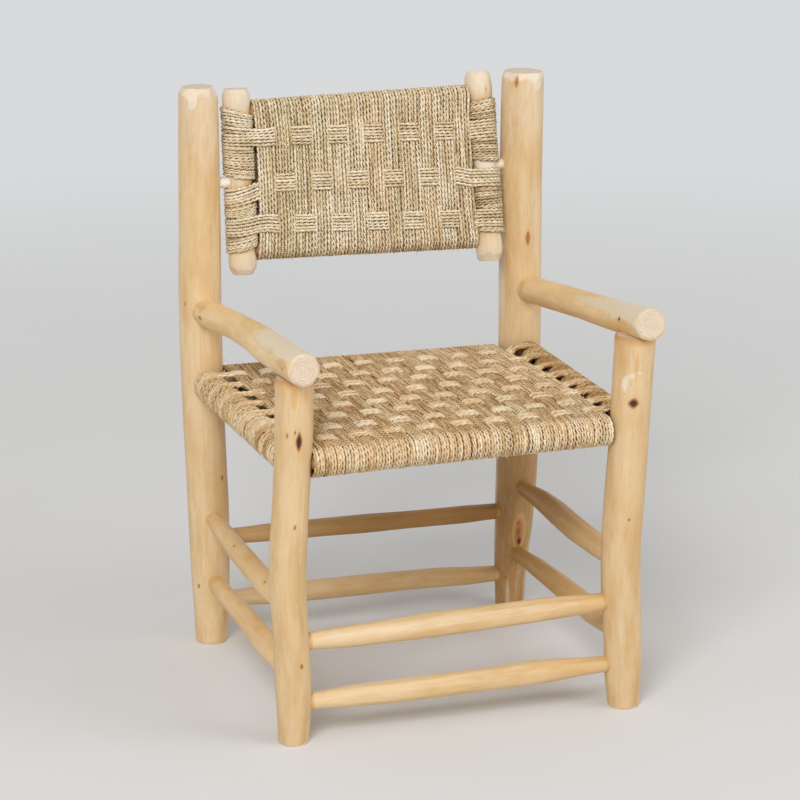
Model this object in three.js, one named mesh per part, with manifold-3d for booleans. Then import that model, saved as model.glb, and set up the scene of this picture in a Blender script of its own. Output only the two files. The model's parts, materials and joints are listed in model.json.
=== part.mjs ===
// Armchair of peeled branches with a rope-woven seat and a rope-woven back that swivels on two pegs.
// Millimetres, +Z up, the front faces -Y, and +X is the right-hand side seen from the front.
import * as THREE from 'three';
import { mergeVertices } from 'three/addons/utils/BufferGeometryUtils.js';
import Module from 'manifold-3d';

const wasm = await Module();
wasm.setup();

// Fit and finish sizes
const clearance = 0.3;
const endChamfer = 4;
const postChamfer = 7;
const uprightSides = 16;
const stickSides = 10;

// Main sizes. The seat's rails lie a little above seatHeight; legs, arms and pegs are placed upwards
// from it. The left rear post stands at rearLine, and the left front leg seatDepth before it.
const seatHeight = 431;
const rearLine = 227;
const seatDepth = 461;
const seatRailRadius = 17;
const seatTenon = { radius: 10, depth: 15 };
const seatRails = {
  seat_front_rail: { ends: ['front_left_leg', 'front_right_leg'], startRise: 0, endRise: 9 },
  seat_rear_rail: { ends: ['rear_left_post', 'rear_right_post'], startRise: 5, endRise: 0 },
  seat_left_rail: { ends: ['front_left_leg', 'rear_left_post'], startRise: 5, endRise: 6 },
  seat_right_rail: { ends: ['front_right_leg', 'rear_right_post'], startRise: 10, endRise: 10 },
};
for (const rail of Object.values(seatRails)) {
  rail.startHeight = seatHeight + rail.startRise;
  rail.endHeight = seatHeight + rail.endRise;
}
const seatRailShares = [[0.03, 1, 0], [0.97, 1, 0]];

// Axis of the two pegs on which the back swivels
const pegAxis = { behindPost: 3, aboveSeat: 323 };
pegAxis.y = rearLine + pegAxis.behindPost;
pegAxis.height = seatHeight + pegAxis.aboveSeat;

// Uprights: footX and forward place the middle of the sole, rake leans the top along Y, and sway
// bends the branch along X. The rear posts end a little way above the pegs.
// Rows: share of the height, share of the radius, share of the sway.
const rearLeftPost = {
  footX: -262, forward: 0, abovePeg: 153, rake: 4, radius: 33.5, sway: -8,
  shapeShares: [
    [0, 0.76, 0], [0.05, 0.83, -0.2], [0.137, 0.94, -0.1], [0.237, 0.985, 0], [0.39, 0.99, 0.58],
    [0.52, 1, 0.88], [0.63, 1, 0.96], [0.74, 0.98, 0.74], [0.9, 0.955, 0.6], [1, 0.92, 0.5],
  ],
};
const rearRightPost = {
  footX: 257, forward: 1, abovePeg: 148, rake: 5, radius: 34.6, sway: 15,
  shapeShares: [
    [0, 0.69, 0], [0.077, 0.78, 0.06], [0.147, 0.9, 0.37], [0.253, 0.985, 0.7], [0.39, 0.99, 0.87],
    [0.54, 0.995, 0.94], [0.654, 1, 0.9], [0.837, 0.99, 0.9], [0.914, 1, 0.93], [1, 0.985, 1],
  ],
};
const frontLeftLeg = {
  footX: -263.5, forward: 0, aboveSeat: 130, rake: -3, radius: 28.4, sway: -8,
  shapeShares: [
    [0, 0.79, 0], [0.06, 0.87, -0.14], [0.16, 0.96, -0.08], [0.31, 0.97, 0.46], [0.437, 0.97, 0.96],
    [0.537, 0.98, 0.81], [0.66, 0.95, 0.25], [0.76, 0.97, -0.15], [0.857, 1, -0.44], [1, 0.99, -0.64],
  ],
};
const frontRightLeg = {
  footX: 259, forward: 21, aboveSeat: 152, rake: 7, radius: 30.9, sway: -8,
  shapeShares: [
    [0, 0.75, 0], [0.053, 0.87, 0.25], [0.114, 0.92, 0.29], [0.19, 0.94, 0.36], [0.324, 0.98, 0.99],
    [0.46, 0.98, 1], [0.56, 1, 0.54], [0.7, 0.97, -0.1], [0.876, 0.98, -0.75], [1, 1, -1.25],
  ],
};

for (const post of [rearLeftPost, rearRightPost]) {
  post.footY = rearLine - post.forward;
  post.height = pegAxis.height + post.abovePeg;
}
for (const leg of [frontLeftLeg, frontRightLeg]) {
  leg.footY = rearLine - seatDepth - leg.forward;
  leg.height = seatHeight + leg.aboveSeat;
}

// Arms: set in a rear post, aside from its middle and aboveSeat. The arm's middle passes aboveLeg
// over the end of the leg and runs on to frontX, overhang before the left front leg.
// Rows: share of the length, share of the radius, share of the rise above a straight line.
const leftArm = {
  aboveSeat: 122, aside: 0, frontX: -261, overhang: 63, aboveLeg: 21.2, radius: 25, rise: 9,
  shapeShares: [
    [0, 0.91, 0], [0.1, 0.9, 0.2], [0.3, 0.85, 1], [0.42, 0.88, 0.95], [0.5, 0.94, 1],
    [0.6, 1, 0.6], [0.75, 1, 0.35], [0.9, 0.99, 0.1], [1, 0.98, 0],
  ],
};
const rightArm = {
  aboveSeat: 116, aside: 5, frontX: 273, overhang: 63, aboveLeg: 20.6, radius: 24.8, rise: -3,
  shapeShares: [
    [0, 0.87, 0], [0.1, 0.88, 0.1], [0.3, 0.89, 0.2], [0.5, 0.89, 0.1], [0.7, 0.94, 1],
    [0.85, 1, 0.5], [1, 0.99, 0],
  ],
};
const armTenon = { radius: 13, depth: 24 };
const legTenon = { radius: 12, depth: 22, root: 10 };

// Stretchers and hidden seat rails: heights where they meet the two uprights, their own radius,
// and the whittled tenon. Rows: share of the free length, share of the radius, share of the rise.
const stretcherTenon = { radius: 13, depth: 20 };
const sideTenon = { radius: 12, depth: 20 };
const stretchers = {
  front_upper_stretcher: {
    ends: ['front_left_leg', 'front_right_leg'], startHeight: 155, endHeight: 171,
    radius: 19.2, rise: -2, tenon: stretcherTenon,
    shapeShares: [[0.05, 0.76, 0], [0.16, 0.9, 0.5], [0.3, 0.92, 0.4], [0.43, 1, 0.2], [0.57, 0.97, 0.5],
      [0.78, 0.93, 0], [0.94, 0.79, 0]],
  },
  front_lower_stretcher: {
    ends: ['front_left_leg', 'front_right_leg'], startHeight: 61, endHeight: 70,
    radius: 19, rise: -2, tenon: stretcherTenon,
    shapeShares: [[0.04, 0.72, 0], [0.13, 0.88, 0], [0.28, 0.93, 0.6], [0.45, 0.92, 0.7], [0.62, 0.93, 0.4],
      [0.75, 1, 0], [0.87, 0.82, 0], [0.95, 0.69, 0]],
  },
  rear_upper_stretcher: {
    ends: ['rear_left_post', 'rear_right_post'], startHeight: 173, endHeight: 167,
    radius: 15.8, rise: 1, tenon: stretcherTenon,
    shapeShares: [[0.05, 0.84, 0], [0.15, 0.93, 0.5], [0.35, 0.95, 0.5], [0.5, 1, 0], [0.65, 0.96, 0],
      [0.88, 0.96, 0], [0.96, 0.84, 0]],
  },
  rear_lower_stretcher: {
    ends: ['rear_left_post', 'rear_right_post'], startHeight: 68, endHeight: 58,
    radius: 17.3, rise: 2, tenon: stretcherTenon,
    shapeShares: [[0.05, 0.78, 0], [0.18, 0.95, 0], [0.35, 1, 0.5], [0.6, 0.97, 1], [0.8, 0.96, 0.8],
      [0.9, 0.87, 0], [0.96, 0.78, 0]],
  },
  left_upper_stretcher: {
    ends: ['front_left_leg', 'rear_left_post'], startHeight: 206, endHeight: 215,
    radius: 17.6, rise: -2, tenon: sideTenon,
    shapeShares: [[0.06, 0.78, 0], [0.2, 0.98, 0.4], [0.4, 1, 0.8], [0.6, 0.95, 1], [0.8, 0.9, 0.5],
      [0.93, 0.78, 0]],
  },
  left_lower_stretcher: {
    ends: ['front_left_leg', 'rear_left_post'], startHeight: 105, endHeight: 107,
    radius: 19, rise: 1, tenon: sideTenon,
    shapeShares: [[0.06, 0.78, 0], [0.2, 1, 0], [0.42, 0.97, 1], [0.65, 0.9, 1], [0.82, 0.8, 0],
      [0.94, 0.72, 0]],
  },
  right_upper_stretcher: {
    ends: ['front_right_leg', 'rear_right_post'], startHeight: 228, endHeight: 215,
    radius: 19.4, rise: 4, tenon: sideTenon,
    shapeShares: [[0.06, 0.8, 0], [0.2, 0.93, 0], [0.42, 1, -0.3], [0.62, 0.98, 0.6], [0.8, 0.86, 1],
      [0.94, 0.68, 0]],
  },
  right_lower_stretcher: {
    ends: ['front_right_leg', 'rear_right_post'], startHeight: 110, endHeight: 99,
    radius: 18.4, rise: 4, tenon: sideTenon,
    shapeShares: [[0.06, 0.74, 0], [0.2, 0.93, 0], [0.4, 1, 0.8], [0.6, 0.94, 1], [0.8, 0.86, 0.6],
      [0.94, 0.7, 0]],
  },
};

// Woven seat: a belt of warp groups round the front and rear rails, weft bands over every other
// group, and the weft's turns round the side rails.
const seatWeave = {
  thickness: 6.7, sideThickness: 8, legGap: 1.6, groups: 18, grooveDepth: 1.6, grooveWidth: 4,
  crown: 3, spread: 15,
  bandWidth: 20, floatHeight: 2.4, floatBevel: 2.5, tongueReach: 24,
  bandShares: [0.076, 0.175, 0.287, 0.393, 0.51, 0.628, 0.748, 0.877],
};

// Swivelling back: stiles on the peg axis, each with its own lean, joined by two hidden rails.
// The turns of rope reach wrapAbove and wrapBelow the axis, and bare tips stand out beyond them.
const peg = { radius: 8, postDepth: 24, stileDepth: 26, sides: 24 };
const leftStile = {
  x: -202, leanDegrees: 5.7, radius: 22.5, woundRadius: 20, topRail: 108, bottomRail: 107,
  wrapAbove: 111, tipAbove: 34, wrapBelow: 107, tipBelow: 39,
};
const rightStile = {
  x: 206, leanDegrees: 12.3, radius: 22, woundRadius: 20, topRail: 112, bottomRail: 115,
  wrapAbove: 101, tipAbove: 49, wrapBelow: 109, tipBelow: 45,
};
for (const stile of [leftStile, rightStile]) {
  stile.above = stile.wrapAbove + stile.tipAbove;
  stile.below = stile.wrapBelow + stile.tipBelow;
}
// Rows: share of the tip's length from its end, share of the radius
const stileTipShares = [[0, 0.92], [0.4, 1], [0.8, 1]];
const backRail = { radius: 13, tenonRadius: 8, tenonDepth: 14 };
const backWeave = {
  thickness: 6, groups: 12, grooveDepth: 1.4, grooveWidth: 4, wrapThickness: 5, pegGap: 18,
  bandWidth: 29, floatHeight: 2.2, floatBevel: 2.5,
  bandShares: [[0.823, 0.758], [0.484, 0.441], [0.186, 0.137]],
};

const peeledWood = new THREE.MeshStandardMaterial({ color: 0xe2c08c, roughness: 0.6, metalness: 0 });
const hiddenWood = new THREE.MeshStandardMaterial({ color: 0xc9a877, roughness: 0.75, metalness: 0 });
const rope = new THREE.MeshStandardMaterial({ color: 0xb8a17a, roughness: 0.95, metalness: 0 });

const lerp = (a, b, t) => a + (b - a) * t;
const point = (x, y, z) => new THREE.Vector3(x, y, z);

// A closed body from rings of points, all with as many points, walked along the body.
// A closed loop of rings has no caps; an open one gets a fan at each end.
function skin(rings, loop) {
  const count = rings[0].length;
  const positions = rings.flat().flatMap((p) => [p.x, p.y, p.z]);
  const index = [];
  const last = loop ? rings.length : rings.length - 1;
  for (let i = 0; i < last; i += 1) {
    const next = ((i + 1) % rings.length) * count;
    for (let j = 0; j < count; j += 1) {
      const k = (j + 1) % count;
      index.push(i * count + j, i * count + k, next + k, i * count + j, next + k, next + j);
    }
  }
  if (!loop) {
    for (const [ring, flip] of [[0, true], [rings.length - 1, false]]) {
      const middle = rings[ring].reduce((sum, p) => sum.add(p), point(0, 0, 0)).divideScalar(count);
      const centre = positions.length / 3;
      positions.push(middle.x, middle.y, middle.z);
      for (let j = 0; j < count; j += 1) {
        const a = ring * count + j;
        const b = ring * count + ((j + 1) % count);
        index.push(centre, flip ? b : a, flip ? a : b);
      }
    }
  }
  const geometry = new THREE.BufferGeometry();
  geometry.setAttribute('position', new THREE.Float32BufferAttribute(positions, 3));
  geometry.setIndex(index);
  return geometry;
}

function solid(geometry) {
  geometry.deleteAttribute('normal');
  geometry.deleteAttribute('uv');
  const merged = mergeVertices(geometry);
  const vertProperties = new Float32Array(merged.attributes.position.array);
  const triVerts = new Uint32Array(merged.index.array);
  return new wasm.Manifold(new wasm.Mesh({ numProp: 3, vertProperties, triVerts }));
}

function meshOf(name, body, material) {
  const { vertProperties, triVerts } = body.getMesh();
  const geometry = new THREE.BufferGeometry();
  geometry.setAttribute('position', new THREE.Float32BufferAttribute(vertProperties, 3));
  geometry.setIndex(Array.from(triVerts));
  geometry.computeVertexNormals();
  const mesh = new THREE.Mesh(geometry, material);
  mesh.name = name;
  return mesh;
}

// A stick from a towards b. Rows: distance from a, radius, and how far it strays along the second
// side direction, which is upwards on a level stick and +Y on an upright one.
function stick(a, b, rows, sides, swell = 0, bend = null) {
  const along = b.clone().sub(a).normalize();
  const side = point(along.z, along.x, along.y);
  side.addScaledVector(along, -side.dot(along)).normalize();
  const up = along.clone().cross(side);
  const growth = swell / Math.cos(Math.PI / sides);
  const first = rows[0][0];
  const end = rows[rows.length - 1][0];
  const rings = rows.map(([distance, radius, stray]) => {
    const tip = (distance === end ? swell : 0) - (distance === first ? swell : 0);
    const centre = a.clone().addScaledVector(along, distance + tip);
    if (stray) centre.addScaledVector(bend ?? up, stray);
    return Array.from({ length: sides }, (_, k) => {
      const angle = (k + 1 / 2) * (2 * Math.PI / sides);
      return centre.clone()
        .addScaledVector(side, (radius + growth) * Math.cos(angle))
        .addScaledVector(up, (radius + growth) * Math.sin(angle));
    });
  });
  return skin(rings, false);
}

// Cut ends keep a small chamfer: the outermost row shrinks and a full row follows just inside it.
function chamfered(rows, atStart, atEnd, chamfer = endChamfer) {
  const result = rows.map((row) => [...row]);
  if (atEnd) {
    const [distance, radius, stray] = result.pop();
    result.push([distance - chamfer, radius, stray], [distance, radius - chamfer, stray]);
  }
  if (atStart) {
    const [distance, radius, stray] = result.shift();
    result.unshift([distance, radius - endChamfer, stray], [distance + endChamfer, radius, stray]);
  }
  return result;
}

// Uprights
const bendAlongX = point(1, 0, 0);
const uprights = {
  rear_left_post: rearLeftPost, rear_right_post: rearRightPost,
  front_left_leg: frontLeftLeg, front_right_leg: frontRightLeg,
};

function uprightRows(upright) {
  return upright.shapeShares.map(([height, girth, stray]) => (
    [height * upright.height, girth * upright.radius, stray * upright.sway]));
}

// Middle and radius of an upright at a height
function uprightAt(upright, height) {
  const rows = uprightRows(upright);
  const next = Math.max(1, rows.findIndex(([z]) => z >= height));
  const [low, high] = [rows[next - 1], rows[next]];
  const t = (height - low[0]) / (high[0] - low[0]);
  return {
    middle: point(
      upright.footX + lerp(low[2], high[2], t),
      upright.footY + upright.rake * (height / upright.height),
      height,
    ),
    radius: lerp(low[1], high[1], t),
  };
}

// The rake only slides each ring along Y, so that the sole stays level.
function uprightBody(upright, topChamfer, swell) {
  const foot = point(upright.footX, upright.footY, 0);
  const top = point(upright.footX, upright.footY, upright.height);
  const rows = chamfered(uprightRows(upright), true, topChamfer, postChamfer);
  const geometry = stick(foot, top, rows, uprightSides, swell, bendAlongX);
  const place = geometry.attributes.position;
  for (let i = 0; i < place.count; i += 1) {
    place.setY(i, place.getY(i) + upright.rake * (place.getZ(i) / upright.height));
  }
  return solid(geometry);
}

// Sticks between two uprights, with a tenon of constant radius at each end
function railLine(rail) {
  const a = uprightAt(uprights[rail.ends[0]], rail.startHeight);
  const b = uprightAt(uprights[rail.ends[1]], rail.endHeight);
  const free = a.middle.distanceTo(b.middle) - a.radius - b.radius;
  return { a: a.middle, b: b.middle, start: a.radius, free };
}

function railBody(rail, tenon, radius, shapeShares, rise, swell) {
  const { a, b, start, free } = railLine(rail);
  const rows = [
    [start - tenon.depth, tenon.radius, 0],
    [start, tenon.radius, 0],
    ...shapeShares.map(([along, girth, stray]) => [start + along * free, girth * radius, stray * rise]),
    [start + free, tenon.radius, 0],
    [start + free + tenon.depth, tenon.radius, 0],
  ];
  return solid(stick(a, b, rows, stickSides, swell));
}

const railSolids = {};
const railCutters = {};
for (const [name, rail] of Object.entries(stretchers)) {
  const make = (swell) => railBody(rail, rail.tenon, rail.radius, rail.shapeShares, rail.rise, swell);
  railSolids[name] = make(0);
  railCutters[name] = make(clearance);
}
for (const [name, rail] of Object.entries(seatRails)) {
  const make = (swell) => railBody(rail, seatTenon, seatRailRadius, seatRailShares, 0, swell);
  railSolids[name] = make(0);
  railCutters[name] = make(clearance);
}

// Arms, coped to the rear posts, with a tenon into the post and a mortise for the front leg
function armLine(arm, post, leg) {
  const rear = uprightAt(post, seatHeight + arm.aboveSeat);
  const a = rear.middle.clone().add(point(arm.aside, 0, 0));
  const legTop = uprightAt(leg, leg.height).middle;
  const slope = (legTop.z + arm.aboveLeg - a.z) / (a.y - legTop.y);
  const frontY = rearLine - seatDepth - arm.overhang;
  return { rear, a, b: point(arm.frontX, frontY, a.z + slope * (a.y - frontY)) };
}

function armBody(arm, post, leg, swell) {
  const { a, b } = armLine(arm, post, leg);
  const length = a.distanceTo(b);
  const rows = arm.shapeShares.map(([along, girth, stray]) => (
    [along * length, girth * arm.radius, stray * arm.rise]));
  return solid(stick(b, a, chamfered(rows.map(([d, r, s]) => [length - d, r, s]).reverse(), true, false),
    uprightSides, swell));
}

function armTenonBody(arm, post, leg, swell) {
  const { rear, a, b } = armLine(arm, post, leg);
  const rows = [
    [rear.radius - armTenon.depth, armTenon.radius, 0],
    [rear.radius + armTenon.depth, armTenon.radius, 0],
  ];
  return solid(stick(a, b, rows, stickSides, swell));
}

function legTenonBody(leg, swell) {
  const { middle } = uprightAt(leg, leg.height - legTenon.root);
  const rows = [[0, legTenon.radius, 0], [legTenon.root + legTenon.depth, legTenon.radius, 0]];
  return solid(stick(middle, middle.clone().add(point(0, 0, leg.height)), rows, stickSides, swell));
}

const posts = {
  rear_left_post: uprightBody(rearLeftPost, true, 0),
  rear_right_post: uprightBody(rearRightPost, true, 0),
  front_left_leg: uprightBody(frontLeftLeg, false, 0),
  front_right_leg: uprightBody(frontRightLeg, false, 0),
};
const postCutters = {
  rear_left_post: uprightBody(rearLeftPost, false, clearance),
  rear_right_post: uprightBody(rearRightPost, false, clearance),
  front_left_leg: uprightBody(frontLeftLeg, false, clearance),
  front_right_leg: uprightBody(frontRightLeg, false, clearance),
};
const arms = {};
for (const [name, arm, post, leg] of [
  ['left_arm', leftArm, 'rear_left_post', 'front_left_leg'],
  ['right_arm', rightArm, 'rear_right_post', 'front_right_leg'],
]) {
  arms[name] = armBody(arm, uprights[post], uprights[leg], 0)
    .subtract(postCutters[post])
    .add(armTenonBody(arm, uprights[post], uprights[leg], 0))
    .subtract(legTenonBody(uprights[leg], clearance));
  posts[post] = posts[post].subtract(armTenonBody(arm, uprights[post], uprights[leg], clearance));
  posts[leg] = posts[leg]
    .subtract(armBody(arm, uprights[post], uprights[leg], clearance))
    .add(legTenonBody(uprights[leg], 0));
}
for (const [name, rail] of Object.entries({ ...stretchers, ...seatRails })) {
  for (const end of rail.ends) posts[end] = posts[end].subtract(railCutters[name]);
}

// Seat belt: the profile runs round the front and rear rails and changes evenly from left to right
const frontRail = railLine(seatRails.seat_front_rail);
const rearRail = railLine(seatRails.seat_rear_rail);
const beltLeft = Math.max(
  frontRail.a.x + frontRail.start,
  rearRail.a.x + rearRail.start,
) + seatWeave.legGap;
const beltRight = Math.min(
  frontRail.a.x + frontRail.start + frontRail.free,
  rearRail.a.x + rearRail.start + rearRail.free,
) - seatWeave.legGap;
const arcSteps = 4;
const flatSteps = 4;

function railMiddle(line, x) {
  const t = (x - line.a.x) / (line.b.x - line.a.x);
  return { y: lerp(line.a.y, line.b.y, t), z: lerp(line.a.z, line.b.z, t) };
}

const crownAt = (share) => seatWeave.crown * (1 - (2 * share - 1) ** 2);
const spreadAt = (x, share) => (
  x + seatWeave.spread * (x / ((beltRight - beltLeft) / 2)) * (1 - (2 * share - 1) ** 2));

// Point on the belt's top, a share of the way from the front rail to the rear one
function seatTop(x, share, forward, lift) {
  const front = railMiddle(frontRail, x);
  const rear = railMiddle(rearRail, x);
  const height = lerp(front.z, rear.z, share) + seatRailRadius + seatWeave.thickness + crownAt(share);
  return point(x, lerp(front.y, rear.y, share) - forward, height + lift);
}

function seatProfile(x, radius) {
  const front = railMiddle(frontRail, x);
  const rear = railMiddle(rearRail, x);
  const profile = [];
  for (let i = 0; i <= arcSteps; i += 1) {
    const angle = -Math.PI / 2 - Math.PI * (i / arcSteps);
    profile.push(point(x, front.y + radius * Math.cos(angle), front.z + radius * Math.sin(angle)));
  }
  for (let i = 1; i < flatSteps; i += 1) {
    const share = i / flatSteps;
    profile.push(point(spreadAt(x, share), lerp(front.y, rear.y, share),
      lerp(front.z, rear.z, share) + radius + crownAt(share)));
  }
  for (let i = 0; i <= arcSteps; i += 1) {
    const angle = Math.PI / 2 - Math.PI * (i / arcSteps);
    profile.push(point(x, rear.y + radius * Math.cos(angle), rear.z + radius * Math.sin(angle)));
  }
  const middle = point(spreadAt(x, 1 / 2), (front.y + rear.y) / 2, (front.z + rear.z) / 2 - radius);
  profile.push(middle);
  return profile.reverse();
}

// Cross stations of a belt: each group of strands is full, with a groove on each side of it
function groupStations(left, right, groups, grooveWidth, depth) {
  const pitch = (right - left) / groups;
  const stations = [[left, depth]];
  for (let i = 0; i < groups; i += 1) {
    const start = left + i * pitch;
    const edge = grooveWidth / 2;
    stations.push([start + edge, 0], [start + pitch - edge, 0], [start + pitch, depth]);
  }
  return stations;
}

function beltBody(stations, outer, inner) {
  const outside = stations.map(([x, depth]) => outer(x, depth));
  const inside = [stations[stations.length - 1][0], stations[0][0]].map((x) => inner(x));
  return solid(skin([...outside, ...inside], true));
}

const seatOuter = seatRailRadius + seatWeave.thickness;
const seatInner = seatRailRadius + clearance / Math.cos(Math.PI / stickSides);
let seatWarp = beltBody(
  groupStations(beltLeft, beltRight, seatWeave.groups, seatWeave.grooveWidth, seatWeave.grooveDepth),
  (x, depth) => seatProfile(x, seatOuter - depth),
  (x) => seatProfile(x, seatInner / Math.cos(Math.PI / (2 * arcSteps))),
);

// A low bevelled float of one weft band, from left to right on the belt
function seatFloat(left, right, share, base, top) {
  const half = seatWeave.bandWidth / 2;
  const ring = (inset, lift) => [
    seatTop(left + inset, share, half - inset, lift), seatTop(right - inset, share, half - inset, lift),
    seatTop(right - inset, share, inset - half, lift), seatTop(left + inset, share, inset - half, lift),
  ];
  return solid(skin([ring(0, base), ring(seatWeave.floatBevel, top)], false));
}

const groupPitch = (beltRight - beltLeft) / seatWeave.groups;
for (const [band, share] of seatWeave.bandShares.entries()) {
  for (let group = 1 + (band + 1) % 2; group < seatWeave.groups - 1; group += 1) {
    if ((group + band) % 2 === 1) {
      const left = spreadAt(beltLeft + group * groupPitch, share) + seatWeave.grooveWidth;
      const right = spreadAt(beltLeft + (group + 1) * groupPitch, share) - seatWeave.grooveWidth;
      const base = -seatWeave.thickness / 2;
      seatWarp = seatWarp.add(seatFloat(left, right, share, base, seatWeave.floatHeight));
    }
  }
}

// A weft band leaving the turns over a side rail and lying on the outermost group
function seatTongue(x, inward, share, radius) {
  const half = seatWeave.bandWidth / 2;
  const above = seatWeave.grooveDepth / 2;
  const rings = [
    [0, -seatWeave.thickness, above + seatWeave.floatHeight],
    [radius / 2, above, above + seatWeave.floatHeight],
    [radius + seatWeave.tongueReach, above, above + seatWeave.floatHeight / 2],
  ].map(([reach, low, high]) => [
    [half, low], [-half, low], [-half, high], [half, high],
  ].map(([forward, lift]) => seatTop(x + inward * reach, share, forward, lift)));
  return solid(skin(inward > 0 ? rings : rings.reverse(), false));
}

// Weft turns round a side rail, with the bands' first floats reaching in over the outermost group
function sideWrap(rail, inward, bands) {
  const { a, b, start, free } = railLine(rail);
  const radius = seatRailRadius + seatWeave.sideThickness;
  const rows = (r) => [[0, r, 0], [start + free + start, r, 0]];
  const bore = seatRailRadius + clearance;
  let wrap = solid(stick(a, b, rows(radius), uprightSides))
    .subtract(solid(stick(a, b, rows(bore), stickSides, clearance)));
  for (const share of bands) wrap = wrap.add(seatTongue(lerp(a.x, b.x, share), inward, share, radius));
  for (const end of rail.ends) wrap = wrap.subtract(postCutters[end]);
  return wrap;
}

const leftBands = seatWeave.bandShares.filter((_, band) => band % 2 === 1);
const rightBands = seatWeave.bandShares.filter((_, band) => band % 2 === 0);
const seatWeftLeft = sideWrap(seatRails.seat_left_rail, 1, leftBands)
  .subtract(railCutters.seat_left_rail);
const seatWeftRight = sideWrap(seatRails.seat_right_rail, -1, rightBands)
  .subtract(railCutters.seat_right_rail);

// Back: every piece is made upright round the peg axis, then leaned by an angle that goes evenly
// from the left stile's to the right stile's
const radians = Math.PI / 180;

function leaned(geometry) {
  const place = geometry.attributes.position;
  for (let i = 0; i < place.count; i += 1) {
    const x = place.getX(i);
    const t = THREE.MathUtils.clamp((x - leftStile.x) / (rightStile.x - leftStile.x), 0, 1);
    const lean = -lerp(leftStile.leanDegrees, rightStile.leanDegrees, t) * radians;
    const [y, z] = [place.getY(i), place.getZ(i)];
    place.setY(i, pegAxis.y + y * Math.cos(lean) - z * Math.sin(lean));
    place.setZ(i, pegAxis.height + y * Math.sin(lean) + z * Math.cos(lean));
  }
  return geometry;
}

function leanedStile(geometry, stile) {
  geometry.rotateX(-stile.leanDegrees * radians);
  geometry.translate(0, pegAxis.y, pegAxis.height);
  return geometry;
}

function stileBody(stile) {
  const length = stile.above + stile.below;
  const bare = stile.radius;
  const rows = [
    ...stileTipShares.map(([along, girth]) => [along * stile.tipBelow, girth * bare, 0]),
    [stile.tipBelow - endChamfer, stile.woundRadius, 0],
    [length - stile.tipAbove + endChamfer, stile.woundRadius, 0],
    ...[...stileTipShares].reverse().map(([along, girth]) => (
      [length - along * stile.tipAbove, girth * bare, 0])),
  ];
  const low = point(stile.x, 0, -stile.below);
  const geometry = stick(low, point(stile.x, 0, stile.above), chamfered(rows, true, true), uprightSides);
  return solid(leanedStile(geometry, stile));
}

function backRailBody(heights, swell) {
  const a = point(leftStile.x, 0, heights[0]);
  const b = point(rightStile.x, 0, heights[1]);
  const gap = a.distanceTo(b);
  const [start, end] = [leftStile.woundRadius, gap - rightStile.woundRadius];
  const rows = [
    [start - backRail.tenonDepth, backRail.tenonRadius, 0], [start, backRail.tenonRadius, 0],
    [start + endChamfer, backRail.radius, 0], [gap / 2, backRail.radius, 0],
    [end - endChamfer, backRail.radius, 0],
    [end, backRail.tenonRadius, 0], [end + backRail.tenonDepth, backRail.tenonRadius, 0],
  ];
  return solid(leaned(stick(a, b, rows, stickSides, swell)));
}

const topRailHeights = [leftStile.topRail, rightStile.topRail];
const bottomRailHeights = [-leftStile.bottomRail, -rightStile.bottomRail];
const backRails = {
  top: backRailBody(topRailHeights, 0),
  bottom: backRailBody(bottomRailHeights, 0),
};
const backRailCutters = [topRailHeights, bottomRailHeights]
  .map((heights) => backRailBody(heights, clearance));

// Pegs run from the posts into the stiles, which turn on them
function pegBody(post, stile, radius, extra) {
  const { middle, radius: girth } = uprightAt(post, pegAxis.height);
  const a = point(middle.x, pegAxis.y, pegAxis.height);
  const b = point(stile.x, pegAxis.y, pegAxis.height);
  const reach = Math.abs(stile.x - middle.x) - stile.woundRadius + peg.stileDepth;
  const rows = [[girth - peg.postDepth - extra, radius, 0], [reach + extra, radius, 0]];
  return solid(stick(a, b, rows, peg.sides));
}

const pegHole = (peg.radius + clearance) / Math.cos(Math.PI / peg.sides);
const pegs = {};
const stiles = {};
for (const [side, post, postName, stile] of [
  ['left', rearLeftPost, 'rear_left_post', leftStile],
  ['right', rearRightPost, 'rear_right_post', rightStile],
]) {
  pegs[side] = pegBody(post, stile, peg.radius, 0);
  const hole = pegBody(post, stile, pegHole, clearance);
  posts[postName] = posts[postName].subtract(hole);
  stiles[side] = stileBody(stile).subtract(hole);
  for (const cutter of backRailCutters) stiles[side] = stiles[side].subtract(cutter);
}

// Back belt and its floats
const wrapReach = backWeave.wrapThickness + clearance * 2;
const backLeft = leftStile.x + leftStile.woundRadius + wrapReach;
const backRight = rightStile.x - rightStile.woundRadius - wrapReach;
const backShare = (x) => (x - leftStile.x) / (rightStile.x - leftStile.x);

function backProfile(x, radius) {
  const top = lerp(...topRailHeights, backShare(x));
  const bottom = lerp(...bottomRailHeights, backShare(x));
  const profile = [];
  for (const [middle, from] of [[top, 0], [bottom, Math.PI]]) {
    for (let i = 0; i <= arcSteps; i += 1) {
      const angle = from + Math.PI * (i / arcSteps);
      profile.push(point(x, radius * Math.cos(angle), middle + radius * Math.sin(angle)));
    }
  }
  return profile;
}

const backOuter = backRail.radius + backWeave.thickness;
const backInner = backRail.radius + clearance / Math.cos(Math.PI / stickSides);
const backStations = groupStations(
  backLeft, backRight, backWeave.groups, backWeave.grooveWidth, backWeave.grooveDepth);
const backOutside = backStations.map(([x, depth]) => backProfile(x, backOuter - depth));
const insideSteps = 6;
const backInside = Array.from({ length: insideSteps + 1 }, (_, i) => backProfile(
  lerp(backRight, backLeft, i / insideSteps), backInner / Math.cos(Math.PI / (2 * arcSteps))));
let backWarp = solid(leaned(skin([...backOutside, ...backInside], true)));

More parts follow.
